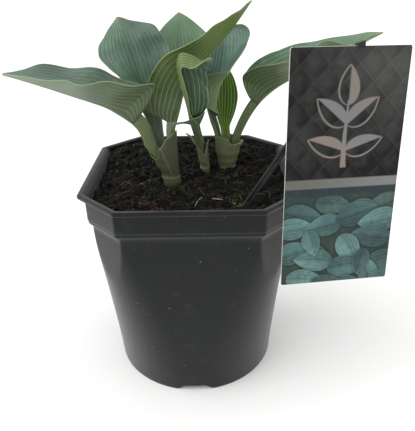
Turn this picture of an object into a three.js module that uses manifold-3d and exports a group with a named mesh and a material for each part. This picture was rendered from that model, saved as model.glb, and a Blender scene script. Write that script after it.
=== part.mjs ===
// Potted hosta: a clump of broad ribbed leaves in a square-topped nursery pot, with a label on a stake.
// Millimetres, +Z up, origin at the middle of the pot's base. The front of the pot faces -Y.
import * as THREE from 'three';
import { mergeVertices } from 'three/addons/utils/BufferGeometryUtils.js';
import Module from 'manifold-3d';

// Pot: a square top with cut corners that runs down into a round base.
// Corner distances run from the pot's axis to the flat of a cut corner.
const rimAcross = 140;
const rimCorner = 80.6;
const potHeight = 149;
const baseRadius = 59;
const wall = 1.3;
const lipHeight = 3;
const lipTopWidth = 3.5;
const collarSide = 65.2;
const collarCorner = 77.7;
const collarHeight = 19;
const collarSlope = 2.2;
const collarTaper = 0.5;
const bodySide = 62.8;
const bodyCorner = 74.2;
const cornerTaper = 2;
const topRoundness = 0.31;
const roundingPower = 1.2;
const footWidth = 2.6;
const footHeight = 5;
const centreFootRadius = 9;
const edgeRound = 0.4;
const notchWidth = 24;
const notchHeight = 3.6;
const notchSlope = 5;
const drainRadius = 5;
const drainCircle = 40;
const drainHoles = 6;

// Soil, shoots and label.
const fitGap = 0.3;
const soilLevel = 143;
const soilRoughness = 1.1;
const plantingDepth = 12;
const shootWall = 1.1;
const shootPoints = 20;
const cardWidth = 68;
const cardHeight = 139;
const cardThickness = 0.8;
const cardCornerRadius = 1.5;
const stakeWidth = 3.4;
const stakeDepth = 2.4;

// Leaves: sheet thickness, midrib thickness and the depth of the furrows between the veins.
const bladeThickness = 0.85;
const petioleThickness = 2.6;
const midribThickness = 1.3;
const furrowDepth = 0.28;
const stalkRows = 5;
const bladeRows = 14;
const halfColumns = 5;

const wasm = await Module();
wasm.setup();

const degrees = Math.PI / 180;
const clamp01 = (x) => Math.min(Math.max(x, 0), 1);
const ease = (x) => clamp01(x) ** 2 * (3 - 2 * clamp01(x));
const mix = (a, b, t) => a + (b - a) * t;
const vec = (p) => new THREE.Vector3(...p);

// Value at t of a list of evenly spaced values, eased from one to the next.
function along(values, t) {
  const place = clamp01(t) * (values.length - 1);
  const i = Math.min(Math.floor(place), values.length - 2);
  return mix(values[i], values[i + 1], ease(place - i));
}

// Geometry from vertices and triangles, turned inside out if its volume comes out negative.
function closedGeometry(points, triangles) {
  let volume = 0;
  for (const [a, b, c] of triangles) {
    volume += points[a].dot(points[b].clone().cross(points[c]));
  }
  const order = volume < 0 ? (t) => [t[0], t[2], t[1]] : (t) => t;
  const geometry = new THREE.BufferGeometry();
  const places = points.flatMap((p) => p.toArray());
  geometry.setAttribute('position', new THREE.Float32BufferAttribute(places, 3));
  geometry.setIndex(triangles.flatMap(order));
  return geometry;
}

// Closed skin over a stack of rings with equal point counts. The end rings close on their middles.
// Where the stack turns downwards the quads are split the other way, so an inner wall follows the outer one.
function skin(rings) {
  const n = rings[0].length;
  const points = rings.flat();
  const triangles = [];
  for (let r = 0; r + 1 < rings.length; r++) {
    const downwards = rings[r + 1][0].z < rings[r][0].z;
    for (let k = 0; k < n; k++) {
      const a = r * n + k;
      const b = r * n + ((k + 1) % n);
      if (downwards) triangles.push([a, b, a + n], [b, b + n, a + n]);
      else triangles.push([a, b, b + n], [a, b + n, a + n]);
    }
  }
  for (const [ring, flip] of [[0, true], [rings.length - 1, false]]) {
    const middle = rings[ring].reduce((sum, p) => sum.add(p), new THREE.Vector3()).divideScalar(n);
    points.push(middle);
    for (let k = 0; k < n; k++) {
      const a = ring * n + k;
      const b = ring * n + ((k + 1) % n);
      triangles.push(flip ? [b, a, points.length - 1] : [a, b, points.length - 1]);
    }
  }
  return closedGeometry(points, triangles);
}

function toSolid(geometry) {
  const bare = geometry.clone();
  bare.deleteAttribute('normal');
  bare.deleteAttribute('uv');
  const merged = mergeVertices(bare, 1e-4);
  return new wasm.Manifold(new wasm.Mesh({
    numProp: 3,
    vertProperties: new Float32Array(merged.attributes.position.array),
    triVerts: new Uint32Array(merged.index.array),
  }));
}

// Geometry of a solid's largest piece, so that no loose scrap of a cut stays behind.
function toGeometry(solid) {
  const pieces = solid.decompose();
  pieces.sort((a, b) => b.volume() - a.volume());
  const mesh = pieces[0].getMesh();
  const geometry = new THREE.BufferGeometry();
  geometry.setAttribute('position', new THREE.BufferAttribute(new Float32Array(mesh.vertProperties), 3));
  geometry.setIndex(new THREE.BufferAttribute(new Uint32Array(mesh.triVerts), 1));
  return geometry;
}

// Reach of the pot's plan in a direction: four sides joined by arcs, less the four cut corners.
function planReach(angle, side, corner, arc) {
  const away = Math.abs(angle - 90 * degrees * Math.round(angle / (90 * degrees)));
  const middle = side - arc;
  const lean = middle * (Math.cos(away) + Math.sin(away));
  const onArc = lean + Math.sqrt(Math.max(lean ** 2 - 2 * middle ** 2 + arc ** 2, 0));
  const onSide = side / Math.cos(away);
  const reach = side * Math.tan(away) <= middle ? onSide : onArc;
  return Math.min(reach, corner / Math.cos(45 * degrees - away));
}

// One ring of the pot at height z, with its points closest together round the cut corners.
const sidePoints = 6;
const cornerPoints = 4;
function potRing(z, side, corner, arc = 0) {
  const turn = Math.atan((Math.SQRT2 * corner) / side - 1);
  const ring = [];
  for (let quarter = 0; quarter < 4; quarter++) {
    for (let k = 0; k < sidePoints + cornerPoints; k++) {
      const across = mix(-turn, turn, k / sidePoints);
      const around = mix(turn, 90 * degrees - turn, (k - sidePoints) / cornerPoints);
      const angle = quarter * 90 * degrees + (k < sidePoints ? across : around);
      const r = planReach(angle, side, corner, arc);
      ring.push(new THREE.Vector3(r * Math.cos(angle), r * Math.sin(angle), z));
    }
  }
  return ring;
}

const roundRing = (z, radius) => potRing(z, radius, radius * 1.16, radius);
const squareRing = (z, inset) => potRing(z, rimAcross / 2 - inset, rimCorner - inset);
const collarRing = (z, inset) => potRing(z, collarSide - inset, collarCorner - inset);

const collarTop = potHeight - lipHeight;
const collarBottom = potHeight - collarHeight;
const bodyTop = collarBottom - collarSlope;

// Ring of the tapering body: flat-sided at the top, rounder all the way down, and a circle at the foot.
function bodyRing(z, inset) {
  const up = z / bodyTop;
  const side = mix(baseRadius, bodySide, up);
  const corner = bodyCorner - cornerTaper * (1 - up);
  const roundness = mix(1, topRoundness, up ** roundingPower);
  return potRing(z, side - inset, corner - inset, Math.max(side * roundness - inset, 0));
}

const floorTop = footHeight;
const floorBottom = floorTop - wall;
const bodyLevels = [1.2, 26, 50, 70, 86, 99, 110, 119, bodyTop];

// The pot: centre foot and floor, foot ring, tapering body, collar, lip, and back down inside.
function makePot() {
  const rings = [
    roundRing(0, centreFootRadius),
    roundRing(floorBottom, centreFootRadius + edgeRound),
    roundRing(floorBottom, baseRadius - footWidth - 2 * edgeRound),
    roundRing(0, baseRadius - footWidth),
    roundRing(0, baseRadius - edgeRound),
    ...bodyLevels.map((z) => bodyRing(z, 0)),
    collarRing(collarBottom, collarTaper),
    collarRing(collarTop, 0),
    squareRing(collarTop + edgeRound, edgeRound),
    squareRing(potHeight - 2 * edgeRound, 0),
    squareRing(potHeight, 2 * edgeRound),
    squareRing(potHeight, lipTopWidth),
    collarRing(collarTop - edgeRound, wall),
    collarRing(collarBottom + edgeRound, collarTaper + wall),
    ...[...bodyLevels].reverse().slice(0, -1).map((z) => bodyRing(z, wall)),
    roundRing(floorTop, baseRadius - wall - edgeRound),
    roundRing(floorTop, baseRadius / 2),
  ];
  let solid = toSolid(skin(rings));
  const arch = new THREE.Shape();
  arch.moveTo(-notchWidth / 2, -1);
  arch.lineTo(notchWidth / 2, -1);
  arch.lineTo(notchWidth / 2 - notchSlope, notchHeight);
  arch.lineTo(-notchWidth / 2 + notchSlope, notchHeight);
  arch.closePath();
  for (let side = 0; side < 4; side++) {
    const notch = new THREE.ExtrudeGeometry(arch, { depth: 4 * footWidth, bevelEnabled: false });
    notch.rotateX(90 * degrees);
    notch.translate(0, footWidth + 4 * edgeRound - baseRadius, 0);
    notch.rotateZ(side * 90 * degrees);
    solid = solid.subtract(toSolid(notch));
  }
  for (let k = 0; k < drainHoles; k++) {
    const hole = new THREE.CylinderGeometry(drainRadius, drainRadius, 3 * wall, 8);
    hole.rotateX(90 * degrees);
    const angle = ((k + 0.5) * 360 * degrees) / drainHoles;
    hole.translate(drainCircle * Math.cos(angle), drainCircle * Math.sin(angle), floorTop - wall / 2);
    solid = solid.subtract(toSolid(hole));
  }
  return solid;
}

// Height of the loose soil: a low rise in the middle, lumps, and a heap against the back wall.
function soilHeight(x, y) {
  const far = Math.hypot(x, y) / (rimAcross / 2);
  const lumps = Math.sin(x * 0.19 + 1.3) * Math.cos(y * 0.23 - 0.4) + 0.6 * Math.sin(x * 0.41 - y * 0.37);
  const heap = 4.4 * ease((y - 8) / 52) - 1.6 * ease((-x - 40) / 25) * ease((50 - y) / 30);
  return soilLevel + 1.2 * (1 - far * far) + soilRoughness * lumps + heap;
}

function makeSoil() {
  const inset = wall + 3 * fitGap;
  const edge = wall + collarTaper + fitGap;
  const surface = (part) => potRing(0, (collarSide - edge) * part, (collarCorner - edge) * part)
    .map((p) => new THREE.Vector3(p.x, p.y, soilHeight(p.x, p.y)));
  const rings = [
    roundRing(floorTop + fitGap, baseRadius / 2),
    roundRing(floorTop + fitGap, baseRadius - inset - edgeRound),
    ...bodyLevels.slice(1).map((z) => bodyRing(z, inset)),
    collarRing(collarBottom + 2 * edgeRound, edge),
    ...[1, 0.86, 0.7, 0.52, 0.34, 0.16].map(surface),
  ];
  return toSolid(skin(rings));
}

// A shoot: the overlapping leaf bases of one crown, solid below and an open, lobed cup above.
// rings lists [z, x, y, half width, half depth]; rim lists [angle, height] once around the cup's mouth.
const shoots = {
  shoot_left: {
    rings: [[141, -12.2, -18.4, 4.4, 4.4], [146, -12.4, -18.2, 5.3, 5], [152, -13.4, -17.4, 5.7, 5.8],
      [160, -15.6, -16, 7.6, 8.4], [166, -17.4, -15.8, 9.2, 9.2], [172.5, -19.2, -15.8, 10.8, 9.8],
      [184, -18, -15.8, 9.5, 9.8]],
    core: 157,
    rim: [[-180, 172.5], [-150, 164.5], [-118, 164], [-88, 172], [-60, 178.5], [-25, 181], [8, 180],
      [45, 172], [90, 168], [150, 167]],
  },
  shoot_middle: {
    rings: [[141, 9.2, 6, 2.4, 4], [148, 9.1, 6.4, 3, 5.6], [154, 8.2, 6.8, 3.6, 7.4],
      [162, 7.3, 6.8, 4, 8.6], [167, 6.2, 6.4, 6, 9], [173, 3.6, 6.2, 8.2, 9.4]],
    core: 152,
    rim: [[-180, 171.5], [-145, 167.5], [-112, 162], [-75, 158.5], [-50, 161], [-20, 167.5], [15, 163],
      [90, 161], [150, 166]],
  },
  shoot_right: {
    rings: [[141, 24.8, 14.2, 5.2, 4.8], [144.6, 24.9, 14.2, 5.8, 5.6], [150, 25.3, 14.2, 6.8, 7.2],
      [156.7, 25.2, 14.2, 8.5, 8.8], [163.4, 26.4, 14.2, 9.8, 9.6], [171, 26.4, 14.2, 10.4, 10]],
    core: 152,
    rim: [[-180, 165.5], [-140, 168], [-105, 167.6], [-80, 163], [-55, 163.6], [-25, 164.6], [20, 162],
      [90, 165], [150, 166]],
  },
};

function shootSection(rings, z) {
  const i = Math.max(0, Math.min(rings.length - 2, rings.findIndex((r) => r[0] > z) - 1));
  const t = ease((z - rings[i][0]) / (rings[i + 1][0] - rings[i][0]));
  return rings[i].map((value, k) => mix(value, rings[i + 1][k], t));
}

// Height of a shoot's rim at an angle from -180 to 180 degrees.
function shootRim(rim, angle) {
  const ring = [...rim, [rim[0][0] + 360, rim[0][1]]];
  const next = ring.findIndex((r) => r[0] > angle);
  const [a, b] = [ring[next - 1], ring[next]];
  return mix(a[1], b[1], ease((angle - a[0]) / (b[0] - a[0])));
}

function shootSkin(shoot, grow) {
  const angles = Array.from({ length: shootPoints }, (_, k) => (k / shootPoints - 0.5) * 360 * degrees);
  const rims = angles.map((angle) => shootRim(shoot.rim, angle / degrees));
  const place = (z, angle, inset) => {
    const [, x, y, a, b] = shootSection(shoot.rings, z);
    return new THREE.Vector3(x + (a - inset) * Math.cos(angle), y + (b - inset) * Math.sin(angle), z);
  };
  const foot = shoot.rings[0];
  const plug = [plantingDepth + grow, plantingDepth * 0.4, 0].map((depth, k) => angles.map((angle) => {
    const r = foot[3] * (0.7 + 0.15 * k) + grow;
    return new THREE.Vector3(foot[1] + r * Math.cos(angle), foot[2] + r * Math.sin(angle), foot[0] - depth);
  }));
  const outer = [0.12, 0.3, 0.5, 0.7, 0.86, 1].map((up) => angles.map((angle, k) =>
    place(mix(foot[0], rims[k], up), angle, -grow)));
  const inner = [1, 0.6, 0.25, 0].map((up) => angles.map((angle, k) =>
    place(mix(shoot.core, rims[k] - 0.2, up), angle, shootWall)));
  return toSolid(skin([...plug, ...outer, ...inner]));
}

// Leaves. midrib is the run of the stalk and midrib in space, and bladeFrom the share of it that is stalk.
// petiole is the stalk's half width at its foot and neck, and channel its fold and its curl at foot and neck.
// face is where the upper side looks, from foot to tip, and span how far the frame is smoothed.
// Each half has its width, where it is widest (rise, fall), its fold up from flat and its curl, in degrees
// from base to tip, the backward reach of its basal lobe, and its wave as [height, waves, start].
// lobeShares are the shares of the blade where the lobe is full and where it has run out.
const leaves = {
  leaf_long_left: {
    shoot: 'shoot_left',
    midrib: [[-15.4, -17.8, 153], [-19.2, -18.4, 162.5], [-25.1, -20.8, 171.8], [-31.8, -24, 187.4],
      [-46.1, -26, 197.8], [-69.7, -28, 207.2], [-92.2, -30, 215.4], [-105.8, -31, 219.8]],
    bladeFrom: 0.35,
    petiole: [1.6, 6.5],
    face: [[0.3, 0.2, 1], [0.1, 0.25, 1], [0, 0.1, 1], [0, 0.1, 1], [0, 0, 1]],
    halves: [
      {
        width: 29.4, rise: 0.42, fall: 1.06,
        fold: [85, 39, 23, 19, 38], curl: [-11, -6, 5, -9], lobe: 9, lobeShares: [0.11, 0.5],
        wave: [0.8, 3.8, 0.27],
      },
      {
        width: 22.9, rise: 0.31, fall: 0.82,
        fold: [56, 47, 48, 32], curl: [12, 0, 2, 0], lobe: 3.8, wave: [2, 2.6, 0.26],
      },
    ],
  },
  leaf_broad_left: {
    shoot: 'shoot_left',
    midrib: [[-15, -11.9, 152], [-17, -11.4, 161.6], [-20.4, -6, 172.4], [-26, 10.5, 186.5],
      [-31.5, 16.8, 202.1], [-36.8, 21.5, 219.6], [-42, 25, 234.8], [-47.2, 29, 243.9]],
    bladeFrom: 0.44,
    petiole: [1.6, 9],
    channel: [26, 80, 26],
    face: [[-0.2, -0.8, 0.5], [0, -0.9, 0.5], [0.1, -0.9, 0.6], [0.1, -0.9, 0.6]],
    halves: [
      {
        width: 27.8, rise: 0.59, fall: 0.75,
        fold: [58, 47, 18, -18], curl: [36, 30, 14, -4], lobe: 0, wave: [1.7, 2.5, -0.17],
      },
      {
        width: 24.6, rise: 0.53, fall: 0.61,
        fold: [25, 26, 19, -32], curl: [20, 20, 11, -20], lobe: 3, wave: [0.4, 2, 0],
      },
    ],
  },
  leaf_back: {
    shoot: 'shoot_middle',
    midrib: [[8.8, 10.6, 149], [7.8, 11.6, 158], [5.2, 17, 168], [-1.6, 32, 186], [-7.5, 44, 218.4],
      [-8, 48, 233.2], [-7.6, 50, 244.2]],
    bladeFrom: 0.47,
    petiole: [1.2, 4],
    face: [[0, -0.9, 0.5], [0, -0.9, 0.5]],
    halves: [
      {
        width: 23.2, rise: 0.6, fall: 0.97,
        fold: [20, 15, 10, 0], curl: [20, 10, 5, -3], lobe: 3, wave: [0, 2, 0],
      },
      {
        width: 26, rise: 0.76, fall: 0.85,
        fold: [20, 15, 12, 3], curl: [20, 10, 4, -2], lobe: 3, wave: [0.7, 2, 0],
      },
    ],
  },
  leaf_tall_centre: {
    shoot: 'shoot_left',
    midrib: [[-11.5, -17.2, 153], [-11.8, -16, 165], [-12, -14, 180], [-7.6, -12, 193.6],
      [-1.2, -11, 209.5], [10.2, -10, 223.6], [26.2, -8, 240.6], [37.6, -6, 255.2]],
    bladeFrom: 0.27,
    petiole: [1.6, 3.8],
    face: [[-0.3, 0.9, 0.4], [-0.5, 0.8, 0.5], [-0.6, 0.5, 0.6], [-0.6, 0.5, 0.6]],
    halves: [
      {
        width: 18, rise: 0.4, fall: 0.95,
        fold: [50, 45, 40, 30], curl: [20, 10, 0, 0], lobe: 3, wave: [0, 2, 0],
      },
      {
        width: 23, rise: 0.45, fall: 0.9,
        fold: [36, 20, 7, 0], curl: [24, 7, 0, -4], lobe: 4, wave: [-0.6, 2.6, -0.15],
      },
    ],
  },
  leaf_hooded: {
    shoot: 'shoot_middle',
    midrib: [[8.6, 5.2, 149], [7.2, 4.6, 157.6], [5.4, -0.6, 168], [3, -9.6, 180.8], [0.4, -19, 193],
      [-2, -25, 204.4], [-4.2, -29, 215.6], [-5.2, -32, 225.2], [-3.2, -34, 229.4], [2.8, -36, 228.4],
      [8.8, -38, 226], [14, -40, 228]],
    bladeFrom: 0.37,
    span: 0.19,
    petiole: [1.2, 3.4],
    face: [[0.6, -0.5, 0.3], [0.8, -0.4, 0.3], [0.8, -0.3, 0.1], [0.8, -0.3, -0.3], [0.2, -0.3, -0.9]],
    halves: [
      {
        width: 8.3, rise: 1.7, fall: 0.43,
        fold: [49, 44, 50, 51, 9], curl: [10, 4, 8, -4, -11], lobe: 0, wave: [-0.4, 2, 0],
      },
      {
        width: 19.3, rise: 1.11, fall: 0.79,
        fold: [52, 77, 64, 58, 7], curl: [43, 53, 50, -8, -10], lobe: 0, wave: [-3, 1.28, 0.05],
      },
    ],
  },
  leaf_cupped: {
    shoot: 'shoot_right',
    midrib: [[21, 13.8, 149], [20.2, 13.6, 159], [17.6, 12.6, 170.8], [14, 12, 184], [17.3, 17, 199],
      [21.4, 22, 212.6], [23, 27, 225.6], [23, 31, 235.4]],
    bladeFrom: 0.37,
    petiole: [1.4, 3.6],
    face: [[0.2, -0.9, 0.3], [0.3, -0.9, 0.4], [0, -0.9, 0.5], [0, -0.9, 0.5]],
    halves: [
      {
        width: 18.5, rise: 0.8, fall: 0.65,
        fold: [35, 24, 15, 10, 0], curl: [60, 34, 25, 20, 0], lobe: 0, wave: [0, 2, 0],
      },
      {
        width: 28.2, rise: 0.62, fall: 0.28,
        fold: [55, 50, 56.5, 41, 28], curl: [117, 200, 41.5, 37.7, 50], lobe: 0, wave: [1.1, 3.2, 0.03],
      },
    ],
  },
  leaf_young: {
    shoot: 'shoot_right',
    midrib: [[25.4, 17.6, 149], [24.8, 18, 157], [24.2, 18.8, 163.4], [23.4, 22, 172], [24, 28, 186.6],
      [24.2, 31, 200], [23.6, 34, 212]],
    bladeFrom: 0.2,
    petiole: [1.6, 3.2],
    face: [[0, -0.9, 0.3], [0, -0.9, 0.4]],
    halves: [
      {
        width: 9, rise: 1.35, fall: 0.9,
        fold: [35, 25, 15, 10], curl: [20, 10, 5, 0], lobe: 0, wave: [0, 2, 0],
      },
      {
        width: 9, rise: 1.45, fall: 1.08,
        fold: [26, 18, 27, 13], curl: [16, 6, 11, 2], lobe: 0, wave: [-0.7, 2, 0],
      },
    ],
  },
  leaf_long_right: {
    shoot: 'shoot_right',
    midrib: [[28.2, 12.8, 149], [29, 12.8, 158], [32.4, 12, 169], [39, 10, 183.6], [47.5, 8, 195.6],
      [63, 4, 207], [88, -2, 221], [116, -10, 237]],
    bladeFrom: 0.345,
    petiole: [2.2, 3.8],
    face: [[-0.3, -0.2, 1], [-0.3, -0.2, 1], [0, 0.1, 1], [0, 0.1, 1], [0, 0, 1]],
    halves: [
      {
        width: 26, rise: 0.7, fall: 1.14,
        fold: [82.7, 47.4, 33.8, 42.7], curl: [35.5, -1.2, -4.5, 7], lobe: 8, lobeShares: [0.18, 0.6],
        wave: [-1.3, 2.5, 0.14],
      },
      {
        width: 25.7, rise: 0.7, fall: 1.36,
        fold: [84.4, 29.2, 35.6, 24], curl: [23.2, -16.3, -10.8, 2], lobe: 8.2, lobeShares: [0.15, 0.38],
        wave: [2.8, 3, 0.32],
      },
    ],
  },
};

// The hooded leaf's lower lobe: a narrow curled strip that reaches to the left from the top of its stalk.
const hoodedLobe = {
  midrib: [[2.2, -9.2, 180.4], [-1.2, -13.2, 182.6], [-6.6, -17.6, 182.8], [-11.6, -20.6, 182.4],
    [-14.6, -21.6, 184]],
  bladeFrom: 0.04,
  petiole: [3.4, 3.4],
  face: [[0.1, -0.5, 0.9], [0, -0.5, 0.9], [0, -0.6, 0.8], [0.3, -0.6, 0.7]],
  halves: [
    {
      width: 1.6, rise: 0.3, fall: 0.5,
      fold: [-30, -20, 0, 20], curl: [0, 0, 10, 60], lobe: 0, wave: [0, 2, 0],
    },
    {
      width: 1.6, rise: 0.3, fall: 0.5,
      fold: [-30, -20, 0, 20], curl: [0, 0, 10, 60], lobe: 0, wave: [0, 2, 0],
    },
  ],
  rows: [1, 7],
  columns: 2,
};

// Smooth run through the midrib points, read by the share of its length.
function midribOf(leaf) {
  const curve = new THREE.CatmullRomCurve3(leaf.midrib.map(vec), false, 'centripetal');
  curve.arcLengthDivisions = 400;
  return curve;
}

// Frame of a leaf at share s of its length: place, forward, upper side and across.
function leafFrame(leaf, curve, s) {
  const span = leaf.span ?? 0.03;
  const place = curve.getPointAt(s);
  const behind = curve.getPointAt(Math.max(s - span, 0));
  const forward = curve.getPointAt(Math.min(s + span, 1)).sub(behind).normalize();
  const look = new THREE.Vector3(...[0, 1, 2].map((k) => along(leaf.face.map((f) => f[k]), s)));
  const upper = look.addScaledVector(forward, -look.dot(forward)).normalize();
  const across = forward.clone().cross(upper);
  return { place, forward, upper, across, t: clamp01((s - leaf.bladeFrom) / (1 - leaf.bladeFrom)), s };
}

// Point of the leaf's surface: v runs from -1 on one margin through 0 on the midrib to 1 on the other.
// Each half is an arc that starts at its fold angle and turns by its curl.
function leafPoint(leaf, frame, v) {
  const { place, forward, upper, across, t, s } = frame;
  const side = leaf.halves[v > 0 ? 1 : 0];
  const m = Math.abs(v);
  const peak = side.rise / (side.rise + side.fall);
  const profile = (t ** side.rise * (1 - t) ** side.fall) / (peak ** side.rise * (1 - peak) ** side.fall);
  const stalk = mix(leaf.petiole[0], leaf.petiole[1], clamp01(s / leaf.bladeFrom)) * (1 - ease(t / 0.2));
  const width = 0.3 + stalk + side.width * profile;
  const blade = s >= leaf.bladeFrom ? ease(t / 0.1) : 0;
  const [stalkFold, footCurl, neckCurl] = leaf.channel ?? [35, 80, 60];
  const stalkCurl = mix(footCurl, neckCurl, clamp01(s / leaf.bladeFrom));
  const fold = mix(stalkFold, along(side.fold, t), blade) * degrees;
  const curl = mix(stalkCurl, along(side.curl, t), blade) * degrees || 1e-3;
  const turned = fold + curl * m;
  const [height, waves, start] = side.wave;
  const fade = ease(t / 0.1) * ease((1 - t) / 0.15);
  const wave = height * Math.sin(360 * degrees * (waves * t + start)) * m * m * fade;
  const out = (width * (Math.sin(turned) - Math.sin(fold))) / curl - wave * Math.sin(turned);
  const up = (width * (Math.cos(fold) - Math.cos(turned))) / curl + wave * Math.cos(turned);
  const [lobeStart, lobeEnd] = side.lobeShares ?? [0.05, 0.35];
  const back = side.lobe * clamp01(1 - t / lobeEnd) ** 2 * m ** 1.5 * ease(t / lobeStart);
  return place.clone().addScaledVector(across, Math.sign(v) * out).addScaledVector(upper, up)
    .addScaledVector(forward, -back);
}

// Thickness of the leaf at its margin share m: a stout stalk and midrib that thin out to the blade.
function leafThickness(t, m) {
  const core = mix(petioleThickness, midribThickness, ease(t / 0.25)) * (1 - 0.4 * t);
  return bladeThickness + Math.max(core - bladeThickness, 0) * (1 - m) ** 2;
}

// A whole leaf as one closed sheet. grow widens it on all sides, for the socket that it stands in.
function leafSolid(leaf, grow = 0) {
  const curve = midribOf(leaf);
  const shares = [];
  const [stalk, blade] = leaf.rows ?? [stalkRows, bladeRows];
  for (let k = 0; k < stalk; k++) {
    shares.push((leaf.bladeFrom * k) / stalk);
  }
  for (let k = 0; k <= blade; k++) {
    shares.push(mix(leaf.bladeFrom, 1, 0.5 - 0.5 * Math.cos((k / blade) * 180 * degrees)));
  }
  const frames = shares.map((s) => leafFrame(leaf, curve, s));
  const middle = leaf.columns ?? halfColumns;
  const columns = 2 * middle + 1;
  const grid = frames.map((frame) => Array.from({ length: columns }, (_, k) =>
    leafPoint(leaf, frame, (k - middle) / middle)));
  const upper = [];
  const lower = [];
  for (let i = 0; i < grid.length; i++) {
    for (let k = 0; k < columns; k++) {
      const ahead = grid[Math.min(i + 1, grid.length - 1)][k].clone().sub(grid[Math.max(i - 1, 0)][k]);
      const beside = grid[i][Math.min(k + 1, columns - 1)].clone().sub(grid[i][Math.max(k - 1, 0)]);
      const normal = beside.clone().cross(ahead).normalize();
      const m = Math.abs(k - middle) / middle;
      const t = frames[i].t;
      const furrow = (k - middle) % 2 ? 0 : furrowDepth * ease(t / 0.15) * ease((1 - t) / 0.25);
      const edge = Math.sign(k - middle) * (m === 1 ? grow : 0);
      const end = i === 0 ? -grow : 0;
      const base = grid[i][k].clone().addScaledVector(normal, -furrow)
        .addScaledVector(beside.normalize(), edge).addScaledVector(frames[i].forward, end);
      upper.push(base.clone().addScaledVector(normal, grow));
      lower.push(base.clone().addScaledVector(normal, -leafThickness(t, m) - grow));
    }
  }
  const points = [...upper, ...lower];
  const under = upper.length;
  const triangles = [];
  const quad = (a, b, c, d) => triangles.push([a, b, c], [a, c, d]);
  for (let i = 0; i + 1 < grid.length; i++) {
    for (let k = 0; k + 1 < columns; k++) {
      const a = i * columns + k;
      const d = a + columns;
      quad(a, a + 1, d + 1, d);
      triangles.push([under + a, under + d + 1, under + a + 1], [under + a, under + d, under + d + 1]);
    }
    for (const [k, flip] of [[0, false], [columns - 1, true]]) {
      const a = i * columns + k;
      const d = a + columns;
      if (flip) quad(a, under + a, under + d, d);
      else quad(a, d, under + d, under + a);
    }
  }
  for (let k = 0; k + 1 < columns; k++) {
    const z = (grid.length - 1) * columns + k;
    quad(k, under + k, under + k + 1, k + 1);
    quad(z, z + 1, under + z + 1, under + z);
  }
  return toSolid(closedGeometry(points, triangles));
}

// Label card, placed by its top left corner: across runs along its width and up along its height.
const cardCorner = vec([54.4, -53, 235.7]);
const cardAcross = vec([71, 10, -1]).normalize();
const cardFacing = cardAcross.clone().cross(vec([0, 17, 145])).normalize();
const cardUp = cardFacing.clone().cross(cardAcross);
const cardFrame = new THREE.Matrix4().makeBasis(cardAcross, cardUp, cardFacing).setPosition(cardCorner);

function makeCard() {
  const r = cardCornerRadius;
  const outline = new THREE.Shape();
  outline.absarc(cardWidth - r, -r, r, 90 * degrees, 0, true);
  outline.absarc(cardWidth - r, r - cardHeight, r, 0, -90 * degrees, true);
  outline.absarc(r, r - cardHeight, r, -90 * degrees, -180 * degrees, true);
  outline.absarc(r, -r, r, 180 * degrees, 90 * degrees, true);
  const sheet = { depth: cardThickness, bevelEnabled: false, curveSegments: 3 };
  const card = new THREE.ExtrudeGeometry(outline, sheet);
  card.translate(0, 0, -cardThickness);
  return toSolid(card.applyMatrix4(cardFrame));
}

// Stake: a flat bar that slants out of the soil and ends in a clip over the card's top edge.
const clipAt = 0.57 * cardWidth;
const clipWidth = 5.6;
const clipRise = 3;
const clipJaw = 1.1;
const clipReach = 2;
const stakeFoot = vec([18.4, -48, 118]);
const stakeBehind = -cardThickness - fitGap - stakeDepth / 2;
const stakeHead = vec([clipAt, clipRise * 0.3, stakeBehind]).applyMatrix4(cardFrame);

function stakeBar(grow) {
  const up = stakeHead.clone().sub(stakeFoot);
  const length = up.length();
  up.normalize();
  const across = cardFacing.clone().cross(up).negate().normalize();
  const facing = across.clone().cross(up);
  const outline = new THREE.Shape();
  const half = stakeWidth / 2 + grow;
  outline.moveTo(0, -4 * grow);
  outline.lineTo(half, 8);
  outline.lineTo(half, length);
  outline.lineTo(-half, length);
  outline.lineTo(-half, 8);
  outline.closePath();
  const bar = new THREE.ExtrudeGeometry(outline, { depth: stakeDepth + 2 * grow, bevelEnabled: false });
  bar.translate(0, 0, -stakeDepth / 2 - grow);
  bar.applyMatrix4(new THREE.Matrix4().makeBasis(across, up, facing).setPosition(stakeFoot));
  return toSolid(bar);
}

// Block in the card's own frame, from low to high corner.
function cardBlock(low, high) {
  const size = high.map((value, k) => value - low[k]);
  const block = new THREE.BoxGeometry(...size);
  block.translate(...low.map((value, k) => value + size[k] / 2));
  return toSolid(block.applyMatrix4(cardFrame));
}

function makeStake() {
  const back = -cardThickness - fitGap;
  const clip = cardBlock([clipAt - clipWidth / 2, -clipReach, back - stakeDepth],
    [clipAt + clipWidth / 2, clipRise, fitGap + clipJaw]);
  const slot = cardBlock([clipAt - clipWidth, -cardHeight, back], [clipAt + clipWidth, fitGap, fitGap]);
  return stakeBar(0).add(clip).subtract(slot);
}

const group = new THREE.Group();
function add(name, geometry, color, roughness) {
  const mesh = new THREE.Mesh(geometry, new THREE.MeshStandardMaterial({ color, roughness, metalness: 0 }));
  mesh.name = name;
  group.add(mesh);
  return mesh;
}

for (const [name, leaf] of Object.entries(leaves)) {
  let solid = leafSolid(leaf);
  if (name === 'leaf_hooded') solid = solid.add(leafSolid(hoodedLobe));
  add(name, toGeometry(solid), name === 'leaf_young' ? 0x5f8f3c : 0x5f8a74, 0.55);
}

let soil = makeSoil();
for (const [name, shoot] of Object.entries(shoots)) {
  let solid = shootSkin(shoot, 0);
  for (const leaf of Object.values(leaves).filter((l) => l.shoot === name)) {
    solid = solid.subtract(leafSolid(leaf, fitGap));
  }
  add(name, toGeometry(solid), 0x66704a, 0.6);
  soil = soil.subtract(shootSkin(shoot, fitGap));
}
soil = soil.subtract(stakeBar(fitGap));
add('soil', toGeometry(soil), 0x1d1a17, 0.95);
add('pot', toGeometry(makePot()), 0x35383a, 0.5);
add('label_stake', toGeometry(makeStake()), 0x2b2c2e, 0.5);
add('label_card', toGeometry(makeCard()), 0x3c3d40, 0.35);

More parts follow.
